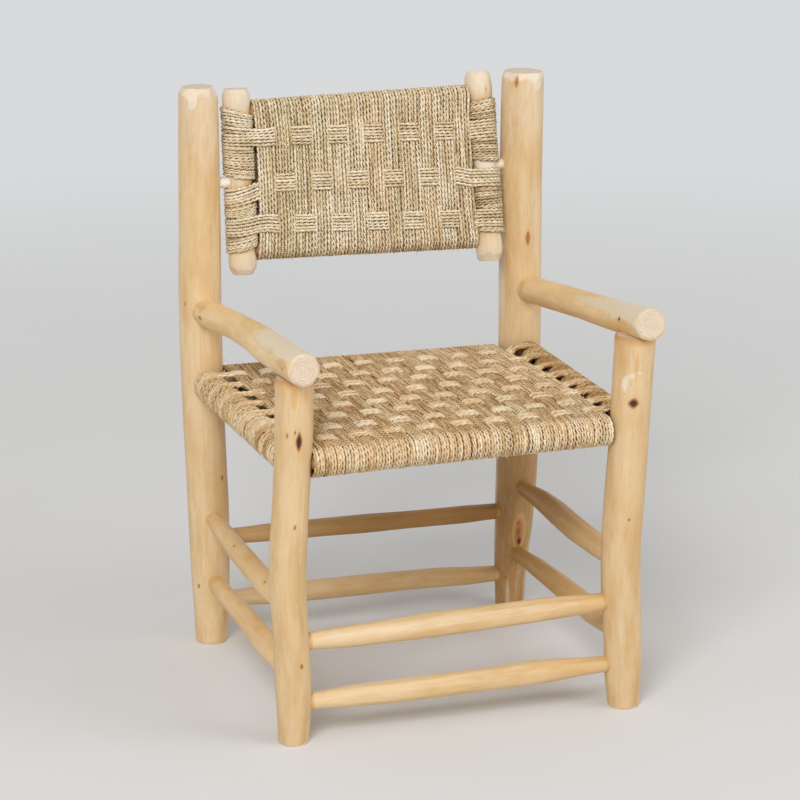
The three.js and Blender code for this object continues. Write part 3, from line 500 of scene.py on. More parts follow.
class Branch:
    """Surface of a branch: at each point of its rings a radius, freshness, knots, stains and painted shade.
    """

    def __init__(self, stick, us, sides, waviness, swell, pale, rng):
        self.stick, self.us, self.rng = stick, us, rng
        self.u, self.angle = us[:, None], (np.arange(sides) * (FULL_TURN / sides))[None, :]
        radius = stick.radius(us)[:, None] + swell
        for k in range(1, 6):
            swing, turn, phase = rng.uniform(0.4, 1.0), rng.uniform(-1, 1) / 110, rng.uniform(0, 6.3)
            slow = 0.6 + 0.4 * np.sin(self.u / rng.uniform(60, 140) + rng.uniform(0, 6.3))
            radius = radius + waviness * swing / k * slow * np.sin(k * self.angle + turn * self.u + phase)
        self.base = self.radius = radius
        self.fresh = np.full_like(radius, pale)
        self.knot = self.stain_and_shade = np.zeros_like(radius)

    def flat_cut(self, depth, off):
        """Distance from the middle to a flat cut of a depth, at an angle off its direction."""
        return (self.base - depth) / np.cos(np.clip(off, -SLACK_ANGLE, SLACK_ANGLE))

    def whittle(self, facets, deepest, pale):
        """Long shallow knife facets, some of them down to whiter wood."""
        rng = self.rng
        for _ in range(facets):
            centre, length = rng.uniform(self.us[0] - 40, self.us[-1] + 40), rng.uniform(70, 260)
            facing, depth = rng.uniform(0, FULL_TURN), rng.uniform(0.4, 1.0) * deepest
            white = rng.uniform(0, 1) ** 2
            bow = 1 - ((self.u - centre) / (length / 2)) ** 2
            off = turned_off(self.angle, facing)
            inside = (bow > 0) & (np.abs(off) < SLACK_ANGLE)
            cut = np.where(inside, self.radius - self.flat_cut(depth * bow, off), -1.0)
            self.radius = self.radius - np.maximum(cut, 0.0)
            whiter = lerp(self.fresh, pale + white * 0.3, smooth_step(cut / 0.25))
            self.fresh = np.where(cut > 0.03, whiter, self.fresh)

    def near(self, pixel, length, width, power=2.0):
        """Distance from the spot that a pixel shows, as a share of a mark's half length and half width."""
        place, facing = spot(self.stick, pixel)
        along = np.abs(self.u - place) / length
        aside = np.abs(turned_off(self.angle, facing) * self.radius / width)
        return (along ** power + aside ** power) ** (1 / power)

    def add_marks(self, node, skirts, fades):
        u, angle = self.u, self.angle
        for pixel, length, width, dark, rise in KNOTS.get(node, ()):
            gap = self.near(pixel, length, width, 1.4)
            self.knot = np.maximum(self.knot, dark * (1 - smooth_step((gap - 0.35) / 0.8)))
            self.stain_and_shade = np.maximum(self.stain_and_shade, 0.5 * bell(gap / 1.3))
            self.radius = self.radius + rise * (bell(gap / 1.7) - 1.3 * bell(gap * 1.3))
        for pixel, length, width, strength in PATCHES.get(node, ()):
            wobble = 0.1 * np.sin(3 * angle + u / 5 + self.rng.uniform(0, 6))
            wobble = wobble + 0.08 * np.sin(7 * angle - u / 3)
            gap = self.near(pixel, length, width) * (1 + wobble)
            self.fresh = np.maximum(self.fresh, strength * (1 - smooth_step((gap - 0.8) / 0.4)))
        for pixel, length, width, strength in STAINS.get(node, ()):
            gap = self.near(pixel, length, width)
            self.stain_and_shade = np.maximum(self.stain_and_shade, strength * (1 - smooth_step(gap - 0.4)))
        # Bands near the ends: painted shade round each socket, and the darker tops of the legs
        for start, end, strength in skirts:
            self.stain_and_shade = np.maximum(self.stain_and_shade, strength * smooth_step((u - start) / (end - start)))
        for start, end, strength in fades:
            self.fresh = np.maximum(self.fresh, strength * smooth_step((u - start) / (end - start)))

    def cut_end(self, end, sign, height):
        """Slanting knife cuts round an end, reaching a height back from it, down to fresher wood."""
        limit = np.full(self.radius.shape, np.inf)
        for slope, reach, count in KNIFE_CUTS:
            for k in range(count):
                facing = (k + self.rng.uniform(-0.3, 0.3)) * FULL_TURN / count
                deep = height * reach * self.rng.uniform(0.6, 1.15)
                off = turned_off(self.angle, facing)
                plane = self.flat_cut(slope * (deep - (end - self.u) * sign), off)
                limit = np.where(np.abs(off) < SLACK_ANGLE, np.minimum(limit, plane), limit)
        shaved = self.radius - limit
        self.radius = np.minimum(self.radius, limit)
        cut = np.maximum(self.fresh, 0.3 + 0.3 * smooth_step(shaved / 3.0))
        self.fresh = np.where(shaved > 0, cut, self.fresh)
        near_end = 1 - np.abs(self.u - end) / (height * 1.5)
        self.fresh = np.maximum(self.fresh, 0.5 * smooth_step(near_end))

    def meshed(self, cuts):
        """Points, faces, places in the grain, and marks, with the two ends closed."""
        rows, sides = self.radius.shape
        middles = self.stick.middle(self.us)
        out = self.radius[..., None] * self.stick.around(self.angle)
        points = [(middles[:, None, :] + out).reshape(-1, 3)]
        across = (self.radius * np.cos(self.angle), self.radius * np.sin(self.angle))
        grain = [np.stack([np.broadcast_to(self.u, self.radius.shape), *across], -1).reshape(-1, 3)]
        marks = {"fresh": [self.fresh.ravel()], "knot": [self.knot.ravel()],
                 "stain_and_shade": [self.stain_and_shade.ravel()], "end": [np.zeros(self.radius.size)]}
        faces, count = tube_faces(rows, sides).tolist(), rows * sides
        for row, cut, sign in ((0, cuts[0], -1), (rows - 1, cuts[1], 1)):
            outer = row * sides + np.arange(sides)
            for share in (INNER_RINGS if cut else ()) + (0.0,):
                radius = self.radius[row] * share if share else np.zeros(1)
                angle = self.angle[0] if share else np.zeros(1)
                bulge = 0.35 * np.sin(radius * 0.3 + angle * 2) - 0.25 * (1 - share)
                bulge = sign * bulge if cut else 0 * radius
                place = middles[row] + radius[:, None] * self.stick.around(angle)
                points.append(place + bulge[:, None] * self.stick.along)
                across = (radius * np.cos(angle), radius * np.sin(angle))
                grain.append(np.stack([0 * radius + self.us[row], *across], -1))
                for key, value in (("fresh", 0.6), ("knot", 0.0), ("stain_and_shade", 0.0), ("end", float(cut > 0))):
                    marks[key].append(np.full(len(radius), value))
                inner = count + np.arange(sides) if share else np.full(sides, count)
                corners = [outer, np.roll(outer, -1)] + ([np.roll(inner, -1)] if share else []) + [inner]
                band = np.stack(corners, axis=-1)
                faces += (band if sign > 0 else band[:, ::-1]).tolist()
                outer = inner
                count += len(radius)
        points = np.concatenate(points)
        points[:, 2] = np.maximum(points[:, 2], 0.0)
        marks = {key: np.concatenate(values) for key, values in marks.items()}
        return points, faces, np.concatenate(grain), np.clip(marks.pop("fresh"), 0, 1), marks


def pole(piece, node, seed, material, sides, step, shorter=(0.0, 0.0), body="frame", slot="peeled_branch",
         cuts=(0.0, 0.0), facets=40, facet_depth=0.7, waviness=0.5, pale=0.0, deep=((0, 0),), swell=0.0,
         skirts=(), fades=()):
    """A whittled branch: a fine mesh round a stick's middle line, with facets, marks and cut ends."""
    stick = sticks[node]
    first, last = stick.low + shorter[0], stick.high - shorter[1]
    us = [np.arange(first + cuts[0], last - cuts[1], step)]
    if cuts[0]:
        us.insert(0, np.arange(first, first + cuts[0] - ROW_GAP, FINE_ROW))
    if cuts[1]:
        us.append(np.append(np.arange(last - cuts[1], last - ROW_GAP, FINE_ROW), last))
    surface = Branch(stick, np.concatenate(us), sides, waviness, swell, pale, np.random.default_rng(seed))
    surface.whittle(facets, facet_depth, pale)
    surface.add_marks(node, skirts, fades)
    for height, row, sign in ((cuts[0], 0, -1), (cuts[1], -1, 1)):
        if height:
            surface.cut_end(surface.us[row], sign, height)
    points, faces, grain, fresh, marks = surface.meshed(cuts)
    new_piece(piece, points, faces, body, [node], slot, material, grain=grain * MM,
              deep=np.interp(grain[:, 0], *zip(*deep)), fresh=fresh, **marks)


sticks = {}
for side in ("left", "right"):
    for name, trim_end, reach in ((f"rear_{side}_post", 2.0, 5.0), (f"front_{side}_leg", 38.0, 5.0),
                                  (f"{side}_arm", 40.0, 4.0), (f"back_{side}_stile", 2.0, 2.0),
                                  (f"{side}_pivot_peg", 2.0, 3.0)):
        sticks[name] = Stick(name, trim_end=trim_end, reach=reach)
for side in ("front", "rear", "left", "right"):
    for name in (f"{side}_upper_stretcher", f"{side}_lower_stretcher", f"seat_{side}_rail"):
        sticks[name] = Stick(name)

# Uprights and arms: heights of the cuts at both ends, length inside the arm, facets, how pale,
# and how deep the colour is at some heights, which on the rear right post is painted shade below the seat
UPRIGHTS = {
    "rear_left_post": ((6.0, 17.0), 0.0, 60, 0.1, ((0, 0),)),
    "rear_right_post": ((6.0, 13.0), 0.0, 60, 0.2, ((0, 0.95), (330, 0.8), (480, 0.05))),
    "front_left_leg": ((6.0, 5.0), 22.0, 44, 0.0, ((0, 0.12),)),
    "front_right_leg": ((6.0, 5.0), 22.0, 44, 0.0, ((0, 0.14),)),
    "left_arm": ((7.0, 0.0), 0.0, 30, 0.05, ((0, 0),)),
    "right_arm": ((7.0, 0.0), 0.0, 30, 0.05, ((0, 0),)),
}
# The front legs grow darker over this length below the arm, up to this strength
LEG_SKIRT, LEG_TOP_DARKENING = 18, 0.95
POST_FADE = (300, 20, 0.42)
for seed, (name, (cuts, in_arm, facets, pale, deep)) in enumerate(UPRIGHTS.items()):
    top = sticks[name].high - in_arm
    skirts = [(top - LEG_SKIRT, top, LEG_TOP_DARKENING)] if in_arm else []
    fades = [(top - POST_FADE[0], top - POST_FADE[1], POST_FADE[2])] if "post" in name else []
    pole(f"{name}_branch", name, 11 + seed, arm_wood if "arm" in name else branch, 96, 3.0, (0.0, in_arm),
         cuts=cuts, facets=facets, pale=pale, deep=deep, skirts=skirts, fades=fades)

# Stretchers: the two uprights that each is let into, and how deep its colour is at either end,
# which on the rear upper and right stretchers is partly inner bark and partly painted shade under the seat
STRETCHERS = {
    "front_upper": ("front_left_leg", "front_right_leg", 0.0, 0.0),
    "front_lower": ("front_left_leg", "front_right_leg", 0.0, 0.0),
    "rear_upper": ("rear_left_post", "rear_right_post", 0.7, 1.05),
    "rear_lower": ("rear_left_post", "rear_right_post", 0.05, 0.25),
    "left_upper": ("front_left_leg", "rear_left_post", 0.2, 0.2),
    "left_lower": ("front_left_leg", "rear_left_post", 0.15, 0.15),
    "right_upper": ("front_right_leg", "rear_right_post", 0.3, 1.3),
    "right_lower": ("front_right_leg", "rear_right_post", 0.3, 1.0),
}
IN_SOCKET = 8
# Painted shade round a socket begins this far outside it, is full this far inside, and this strong
SOCKET_SHADE = (5, 1, 0.8)
FRONT_PALE = 0.12
for seed, (place, (first_post, last_post, first_deep, last_deep)) in enumerate(STRETCHERS.items()):
    name = f"{place}_stretcher"
    stick = sticks[name]
    crosswise = place.startswith(("front", "rear"))
    axis = 0 if crosswise else 1
    skirts = []
    for post, inner, sign in ((first_post, stick.low, 1), (last_post, stick.high, -1)):
        height = stick.middle(inner)[2]
        surface = sticks[post].middle(height)[axis] + sign * sticks[post].radius(height)
        entry = np.interp(surface, stick.middles[:, axis], stick.at)
        skirts.append((entry + sign * SOCKET_SHADE[0], entry - sign * SOCKET_SHADE[1], SOCKET_SHADE[2]))
    pole(f"{name}_branch", name, 31 + seed, branch if crosswise else arm_wood, 64, 4.0,
         (IN_SOCKET, IN_SOCKET), facets=18, facet_depth=1.4, waviness=0.4, skirts=skirts,
         deep=((stick.low, first_deep), (stick.high, last_deep)),
         pale=FRONT_PALE if place.startswith("front") else 0.0)

STILE_CUTS = (13.0, 9.0)
# Paler wood towards the tips of the stiles: from and to a distance from the tip, and how strong
STILE_FADES = ((70, 20, 0.6), (70, 20, 0.55))
for seed, side in enumerate(("left", "right")):
    name = f"back_{side}_stile"
    stick = sticks[name]
    fades = [(tip + sign * start, tip + sign * end, strength) for tip, sign, (start, end, strength)
             in zip((stick.high, stick.low), (-1, 1), STILE_FADES)]
    pole(f"{name}_branch", name, 51 + seed, branch, 64, 3.0, body="back_panel", cuts=STILE_CUTS, facets=22,
         facet_depth=0.6, waviness=0.4, pale=0.3, fades=fades)
    pole(f"{side}_peg_whittled", f"{side}_pivot_peg", 61 + seed, peg_wood, 32, 2.0, slot="whittled_peg",
         facets=10, facet_depth=0.4, waviness=0.2, swell=0.9)

for name in ("seat_front_rail", "seat_rear_rail", "seat_left_rail", "seat_right_rail",
             "back_top_rail", "back_bottom_rail"):
    mesh = frame["nodes"][name].data
    mesh.materials.clear()
    mesh.materials.append(rail_wood)


# Two-ply rope

ROPE_RADIUS = 2.7
ROPE_STEP = 3.0
ROPE_SIDES = 8
HALF_LAY = 9.5
FULL_RELIEF = 0.35


def resampled(path, step):
    length = np.concatenate([[0], np.cumsum(np.linalg.norm(np.diff(path, axis=0), axis=1))])
    count = max(int(round(length[-1] / step)), 4)
    at = np.linspace(0, length[-1], count + 1)
    return np.stack([np.interp(at, length, path[:, k]) for k in range(3)], axis=-1), at


def wandering(at, spacing, size, rng):
    """Random values that change smoothly along a rope."""
    stops = np.arange(0, at[-1] + 2 * spacing, spacing)
    return np.interp(at, stops, rng.normal(0, size, len(stops)))


def rope_rings(path, axis, rng, tone, tint, radius=ROPE_RADIUS, lighter=None, relief=FULL_RELIEF, seam=0.25,
               dots=1.0, mixed=0.15, step=ROPE_STEP, sides=ROPE_SIDES):
    """Rings of one rope along a path that winds round an axis.

    Relief is the depth of the lay; seam and dots are how much shade is painted between neighbouring turns
    and in the grooves of the lay; mixed is how much the tone changes along the rope.
    """
    places, at = resampled(path, step)
    start = rng.uniform(0, 40)
    for _ in range(3):
        push = rng.normal(0, 0.16, 3)
        places = places + push * np.sin(at / rng.uniform(11, 34) + rng.uniform(0, 6.3))[:, None]
    along = unit(np.gradient(places, axis=0))
    across = unit(axis - (along @ axis)[:, None] * along)
    out = np.cross(across, along)
    turn = np.pi * at / HALF_LAY + rng.uniform(0, 6.3) + wandering(at, 240, 2.4, rng)
    theta = np.arange(sides) * (FULL_TURN / sides)
    lobe = np.abs(np.cos(theta))
    swell = radius * (1 + 0.05 * np.sin(at / rng.uniform(14, 40) + rng.uniform(0, 6.3))
                      + 0.03 * np.sin(at / rng.uniform(5, 9)))
    rho = swell[:, None] * (1 - relief + relief * lobe)[None, :]
    face = theta[None, :] + turn[:, None]
    sideways, outwards = rho * np.cos(face), rho * np.sin(face)
    beside = np.cos(face) ** 2
    gap = dots * (1 - lobe)[None, :] * (0.1 + 0.9 * beside) + seam * beside ** 3
    gap = gap * (relief / FULL_RELIEF) * np.clip(1 + wandering(at, 26, 0.3, rng), 0.35, 1.5)[:, None]
    shade = tone + wandering(at, 130, mixed, rng)
    shade = shade + 0.08 * np.sin(at / rng.uniform(20, 60) + rng.uniform(0, 6.3))
    # Painted light and shade along the rope; where it is lighter, less shade is painted in the grooves
    if lighter:
        lift = lighter(places)
        shade = shade + lift
        gap = gap * (1 - np.clip(lift, 0, 1))[:, None]
    points = (places[:, None, :] + sideways[..., None] * across[:, None, :]
              + outwards[..., None] * out[:, None, :])
    strand = np.broadcast_to((at + start * 97)[:, None], rho.shape)
    return {"points": points, "lay": np.stack([strand, sideways + start, outwards], axis=-1),
            "places": places, "out": out, "across": across, "along": along,
            "tone": shade[:, None] + (0.07 * np.cos(theta))[None, :],
            "tint": (tint + wandering(at, 170, 0.3, rng))[:, None] + 0 * rho, "groove": gap}


# Slot and material of the rope on each body, and the ropes that loose fibres come from
ROPE_LOOKS = {"frame": ("seat_rope", seat_rope), "back_panel": ("back_rope", back_rope)}
fibre_sources = {"frame": [], "back_panel": []}


def rope_piece(name, ropes, body, nodes=()):
    faces, count = [], 0
    for rope in ropes:
        rings, sides = rope["points"].shape[:2]
        faces += tube_faces(rings, sides, count).tolist()
        faces.append(list(range(count, count + sides))[::-1])
        count += rings * sides
        faces.append(list(range(count - sides, count)))
    joined = {key: np.concatenate([rope[key].reshape(-1, *rope[key].shape[2:]) for rope in ropes])
              for key in ("points", "lay", "tone", "tint", "groove")}
    fibre_sources[body] += [rope for rope in ropes if rope["points"].shape[1] == ROPE_SIDES]
    joined["lay"] = joined["lay"] * MM
    new_piece(name, joined.pop("points"), faces, body, nodes, *ROPE_LOOKS[body], **joined)


def rope_pieces(name, ropes, parts, body, nodes):
    """Ropes shared out over a number of pieces, the first of which replace the nodes."""
    size = len(ropes) // parts
    for part in range(parts):
        rope_piece(f"{name}_{part + 1}", ropes[part * size:(part + 1) * size], body, nodes[part:part + 1])


# Weaving, the same for seat and back

STRANDS = 6
UNDER_SLOPE = 4.6


def strand_place(left, pitch, group, strand):
    """Place across the belt of one strand of a group."""
    return left + (group + 0.5 + (strand - (STRANDS - 1) / 2) / STRANDS) * pitch


def runs(seen_face, points):
    """The three runs of a turn: half of the hidden side, the whole side that is seen, the other half.

    Each run has its face, the shares of the way across, and how far it has moved on, in turns.
    """
    for face, start, end, shift in ((-seen_face, 0.5, 0.0, -0.5), (seen_face, 0.0, 1.0, 0.0),
                                    (-seen_face, 1.0, 0.5, 0.5)):
        share = np.linspace(start, end, points if face == seen_face else points // 2)
        yield face, share, shift * 2 * (1 - share if start == 1.0 else share)


def woven_over(group, band, odd):
    """Whether a weft band lies over a group of warp strands."""
    return (group + band) % 2 == odd


def warp_lift(place, bands, group, odd, flat, slope, under, over):
    """How far a warp strand rises where it lies over a band, or sinks under one."""
    lift = np.zeros_like(place)
    for band, middle in enumerate(bands):
        near = 1 - smooth_step((np.abs(place - middle) - flat) / slope)
        lift += near * (under if woven_over(group, band, odd) else over)
    return lift


def weft_lift(index, groups, pitch, band, odd, crossing, over, under, over_slope):
    """How far a weft strand rises or sinks, and how far past the warp it is; index counts the groups."""
    group = np.floor(index)
    border = np.minimum(index - group, 1 + group - index) * pitch
    lift = np.where(woven_over(np.clip(group, 0, groups - 1), band, odd),
                    lerp(crossing, over, smooth_step(border / over_slope)),
                    lerp(crossing, under, smooth_step(border / UNDER_SLOPE)))
    beyond = np.maximum(np.maximum(-index, index - groups), 0) * pitch
    return np.where(beyond > 0, crossing, lift), beyond


def half_turn(points):
    return np.linspace(0, np.pi, points)[1:-1]


def bend(centre, end, out, arc, along, face):
    """Half a turn of rope round a rail at the near (0) or far (1) end of the side that is seen.

    Along points from the near to the far end, and face out of the side that is seen.
    """
    sign = (-1, 1)[end]
    return centre + sign * (np.outer(out * np.sin(arc), along) + np.outer(out * np.cos(arc), face))


def free_stretches(first, last, taken):
    """The stretches from first to last between those that are taken."""
    stretches = []
    for start, end in sorted(taken):
        stretches.append((first, start))
        first = max(first, end)
    return stretches + [(first, last)]


def wound(stretches, pitch, points, spare, inset):
    """Angle and place of the turns of rope that fill each free stretch."""
    for low, high in stretches:
        turns = int(round((high - low) / pitch))
        if turns >= 1:
            angle = np.linspace(-0.6, turns + 0.6, turns * points + spare) * FULL_TURN
            yield angle, lerp(low + inset, high - inset, np.clip(angle / (FULL_TURN * turns), 0, 1))



# Woven seat

WARP_OUT, SIDE_OUT = 20.6, 22.0
GROUPS = 18
BANDS = (0.076, 0.175, 0.287, 0.393, 0.51, 0.628, 0.748, 0.877)
BAND_STRANDS, BAND_PITCH = 4, 5.7
CROWN, SPREAD = 3.0, 15.0
EDGE_PULL, PULL_BEGINS = (14.0, 10.0), 0.76
GATHERED, GATHERED_WITHIN = 0.07, 30
OUTER_STRANDS_LOWER = 0.8
SEAT_WARP = {"odd": 1, "flat": 9.5, "slope": 6.0, "under": -1.3, "over": 0.7}
SEAT_WEFT = {"odd": 1, "crossing": 1.4, "over": 3.6, "under": -3.6, "over_slope": 3.0}
SEAT_WRAP = {"pitch": 4.5, "points": 46, "spare": 55, "inset": 1.5}
belt_left, belt_right = -237.0, 226.0
belt_middle, belt_half = (belt_left + belt_right) / 2, (belt_right - belt_left) / 2
belt_pitch = (belt_right - belt_left) / GROUPS
rng = np.random.default_rng(5)


def straight(name, axis):
    stick = sticks[name]
    ends = [stick.middle(lerp(stick.low, stick.high, share)) for share in (0.2, 0.8)]
    return ends[0], ends[1], axis


def on_line(line, value):
    a, b, axis = line
    t = (np.asarray(value, dtype=float) - a[axis]) / (b[axis] - a[axis])
    return a + t[..., None] * (b - a)


front_rail, rear_rail = straight("seat_front_rail", 0), straight("seat_rear_rail", 0)
left_rail, right_rail = straight("seat_left_rail", 1), straight("seat_right_rail", 1)


def bow(s):
    return 1 - (2 * s - 1) ** 2


def drawn_in(q, s, face):
    """How far the edge strands are pulled back by the weft at a share q of the half width."""
    pull = np.where(q < 0, *EDGE_PULL) * bow(s) * (1.0 if face > 0 else 0.2)
    return np.sign(q) * pull * np.clip((np.abs(q) - PULL_BEGINS) / (1 - PULL_BEGINS), 0, 1) ** 2


def spread_x(q, s, face):
    return belt_middle + q * (belt_half + SPREAD * bow(s)) - drawn_in(q, s, face)


def spread_share_at(x, s, face):
    """The share of the half width that a place across the belt belongs to."""
    q = (x - belt_middle) / belt_half
    for _ in range(8):
        q = (x - belt_middle + drawn_in(q, s, face)) / (belt_half + SPREAD * bow(s))
    return q


def seat_neutral(x, s, face):
    """Places on the seat's top (face 1) or underside (face -1), shares s of the way to the rear."""
    place = lerp(on_line(front_rail, x), on_line(rear_rail, x), s[:, None])
    lift = WARP_OUT + (CROWN * bow(s) if face > 0 else 0.0)
    return np.stack([x, place[:, 1], place[:, 2] + face * lift], axis=-1)


def seat_warp_path(group):
    arc = half_turn(22)
    middle_x = belt_left + (group + 0.5) * belt_pitch
    path = []
    for strand in range(STRANDS):
        x = strand_place(belt_left, belt_pitch, group, strand)
        wander, slack = rng.normal(0, 0.35), abs(rng.normal(0, 0.6))
        rails = on_line(front_rail, x), on_line(rear_rail, x)
        length = rails[1][1] - rails[0][1]
        middles = [share * length for share in BANDS]
        for end, (face, s, moved) in enumerate(runs(1, 170)):
            place = seat_neutral(x + moved * belt_pitch / STRANDS, s, face)
            place[:, 2] += face * warp_lift(s * length, middles, group, **SEAT_WARP)
            gather = 1 - GATHERED * smooth_step(np.minimum(s, 1 - s) * length / GATHERED_WITHIN)
            gathered = middle_x + (place[:, 0] - middle_x) * gather
            place[:, 0] = spread_x((gathered - belt_middle) / belt_half, s, face) + wander
            path.append(place)
            if end < 2:
                out = WARP_OUT + slack * np.sin(arc)
                path.append(bend(rails[end] + wander * X_AXIS, end, out, arc, Y_AXIS, Z_AXIS))
    return np.concatenate(path)


def seat_weft_path(band):
    arc = half_turn(24)
    path = []
    for strand in range(BAND_STRANDS):
        off_middle = strand - (BAND_STRANDS - 1) / 2
        offset = off_middle * BAND_PITCH + rng.normal(0, 0.2)
        rails = []
        for rail, edge in ((left_rail, belt_left), (right_rail, belt_right)):
            y = lerp(on_line(front_rail, edge)[1], on_line(rear_rail, edge)[1], BANDS[band]) + offset
            rails.append(on_line(rail, y))
        for end, (face, t, moved) in enumerate(runs(1, 400)):
            x = lerp(rails[0][0], rails[1][0], t)
            front, rear = on_line(front_rail, x)[:, 1], on_line(rear_rail, x)[:, 1]
            y = lerp(front, rear, BANDS[band]) + offset + moved * BAND_PITCH
            s = (y - front) / (rear - front)
            index = (1 + spread_share_at(x, s, face)) / 2 * GROUPS
            lift, beyond = weft_lift(index, GROUPS, belt_pitch, band, **SEAT_WEFT)
            lower = OUTER_STRANDS_LOWER * (2 * abs(off_middle) / (BAND_STRANDS - 1)) ** 2
            lift = np.where(lift > 0, lift - lower, lift)
            side = np.where(x < belt_middle, rails[0][2], rails[1][2]) + face * SIDE_OUT
            z = seat_neutral(x, s, face)[:, 2] + face * lift
            path.append(np.stack([x, y, lerp(z, side, smooth_step(beyond / 12.0))], axis=-1))
            if end < 2:
                path.append(bend(rails[end], end, SIDE_OUT, arc, X_AXIS, Z_AXIS))
    return np.concatenate(path)


def side_wrap_paths(rail, first, last, edge, inward):
    """Turns of rope round a side rail between the weft bands; their ends lie flat against the bands."""
    half = BAND_STRANDS / 2 * BAND_PITCH
    middles = [lerp(on_line(front_rail, edge)[1], on_line(rear_rail, edge)[1], share) for share in BANDS]
    stretches = free_stretches(first, last, [(middle - half, middle + half) for middle in middles])
    paths = []
    for angle, y in wound(stretches, **SEAT_WRAP):
        y = y + 0.8 * np.sin(angle) * rng.uniform(-1, 1)
        centre = on_line(rail, y)
        radius = SIDE_OUT + 0.35 * np.sin(angle * 0.37 + rng.uniform(0, 6))
        turn = -np.pi / 2 - angle
        x = centre[:, 0] + inward * 0.5 + (radius + 0.5) * np.cos(turn)
        paths.append(np.stack([x, y, centre[:, 2] + radius * np.sin(turn)], -1))
    return paths


def front_roll_light(places):
    """Painted light on the strands where they go over the front rail, more so to the left."""
    stronger = 0.16 + 0.16 * smooth_step((60 - places[:, 0]) / 260)
    return stronger * smooth_step((front_rail[0][1] + 4 - places[:, 1]) / 16)


def edge_shade(places):
    """The weft is darker where it goes round the side rails."""
    x = places[:, 0]
    return -0.65 * smooth_step((x - belt_right - 2) / 12) - 0.2 * smooth_step((belt_left - 2 - x) / 12)


# The warp's tone rises from the left group to the right: painted shade over the left of the seat
seat_groups = [rope_rings(seat_warp_path(group), X_AXIS, rng, rng.normal(0.36 + 0.012 * group, 0.08),
                          rng.uniform(-0.65, 0.1), lighter=front_roll_light, relief=0.3, seam=0.75, dots=1.2)
               for group in range(GROUPS)]
rope_pieces("seat_warp_rope", seat_groups, 6, "frame", ["seat_warp"])
seat_bands = [rope_rings(seat_weft_path(band), -Y_AXIS, rng, rng.normal(0.8, 0.04),
                         rng.uniform(-0.75, -0.15), radius=3.0, lighter=edge_shade, relief=0.27,
                         seam=0.6, dots=0.6)
              for band in range(len(BANDS))]
rope_pieces("seat_weft_rope", seat_bands, 2, "frame", ["seat_weft_left", "seat_weft_right"])
WRAP_GAP = 3.0
# The right wraps have a darker tone: painted shade on the right side of the seat
for side, rail, edge, inward, tone in (("left", left_rail, belt_left, 1, 0.5),
                                       ("right", right_rail, belt_right, -1, 0.02)):
    height = rail[0][2]
    leg, post = sticks[f"front_{side}_leg"], sticks[f"rear_{side}_post"]
    first = leg.middle(height)[1] + leg.radius(height) + WRAP_GAP
    last = post.middle(height)[1] - post.radius(height) - WRAP_GAP
    wraps = [rope_rings(path, -Y_AXIS, rng, rng.normal(tone, 0.08), rng.uniform(0, 0.6),
                        seam=0.7, mixed=0.22)
             for path in side_wrap_paths(rail, first, last, edge, inward)]
    rope_piece(f"seat_{side}_wrap_rope", wraps, "frame")


# Woven back. Places are measured from the peg axis; pairs are for the left and the right stile.

BACK_OUT, STILE_OUT, BELT_FROM_STILE = 16.2, 23.3, 25.4
BACK_GROUPS = 12
BACK_TOP, BACK_BOTTOM = (108.0, 112.0), (-107.0, -115.0)
BACK_BANDS = ((0.823, 0.758), (0.484, 0.441), (0.186, 0.137))
BACK_BAND_STRANDS, BACK_BAND_PITCH = 6, 4.85
WRAP = ((-107.0, 111.0), (-109.0, 104.0))
PEG_GAP = 6.0
FLARE = 0.018
BACK_WARP = {"odd": 0, "flat": 12.5, "slope": 9.0, "under": -1.6, "over": 1.1}
BACK_WEFT = {"odd": 0, "crossing": 0.8, "over": 3.0, "under": -3.5, "over_slope": 2.4}
BACK_WRAP = {"pitch": 4.7, "points": 48, "spare": 58, "inset": 2.3}
# How the turns round the stiles slant: height on the stile, rise per millimetre to the right
SLANTS = (
    ([-107, -88, -72, -50, -30, -12, 0, 10, 16, 45, 72, 92, 111],
     [0.26, 0.14, 0.1, 0.12, 0.24, 0.28, 0.0, -0.16, -0.2, -0.1, -0.04, -0.2, -0.36]),
    ([-109, -60, -12, 12, 40, 75, 101], [-0.06, 0.0, -0.04, -0.06, 0.02, 0.08, 0.16]),
)
stiles = sticks["back_left_stile"], sticks["back_right_stile"]
stile_x = [stile.middle(lerp(stile.low, stile.high, 0.5))[0] for stile in stiles]
stile_lean = [math.atan2(stile.along[1], stile.along[2]) for stile in stiles]
back_left, back_right = stile_x[0] + BELT_FROM_STILE, stile_x[1] - BELT_FROM_STILE
back_middle, back_pitch = (back_left + back_right) / 2, (back_right - back_left) / BACK_GROUPS
half_band = BACK_BAND_STRANDS / 2 * BACK_BAND_PITCH


def back_share(x):
    return (x - stile_x[0]) / (stile_x[1] - stile_x[0])


def leaned(path):
    """From the upright panel, measured from the peg axis, to its place between the stiles."""
    x, y, z = path.T
    lean = -lerp(*stile_lean, np.clip(back_share(x), 0, 1))
    back, up = y * np.cos(lean) - z * np.sin(lean), y * np.sin(lean) + z * np.cos(lean)
    return np.stack([x, HINGE[1] + back, HINGE[2] + up], axis=-1)


def band_height(band, x):
    ends = [lerp(BACK_BOTTOM[k], BACK_TOP[k], BACK_BANDS[band][k]) for k in (0, 1)]
    return lerp(*ends, (x - back_left) / (back_right - back_left))


def slanted(side, height, x):
    return height + np.interp(height, *SLANTS[side]) * (x - stile_x[side])


def height_at_stile(band, side):
    """Where the middle of a weft band goes round a stile."""
    edge = (back_left, back_right)[side]
    height = band_height(band, edge)
    for _ in range(4):
        height = band_height(band, edge) - np.interp(height, *SLANTS[side]) * (edge - stile_x[side])
    return float(height)


# The middle band goes round the stiles below the pegs
band_at_stile = [[height_at_stile(band, side) for side in (0, 1)] for band in range(len(BACK_BANDS))]
below_peg = -PEG_GAP - half_band
band_at_stile[1] = [below_peg, min(band_at_stile[1][1], below_peg)]


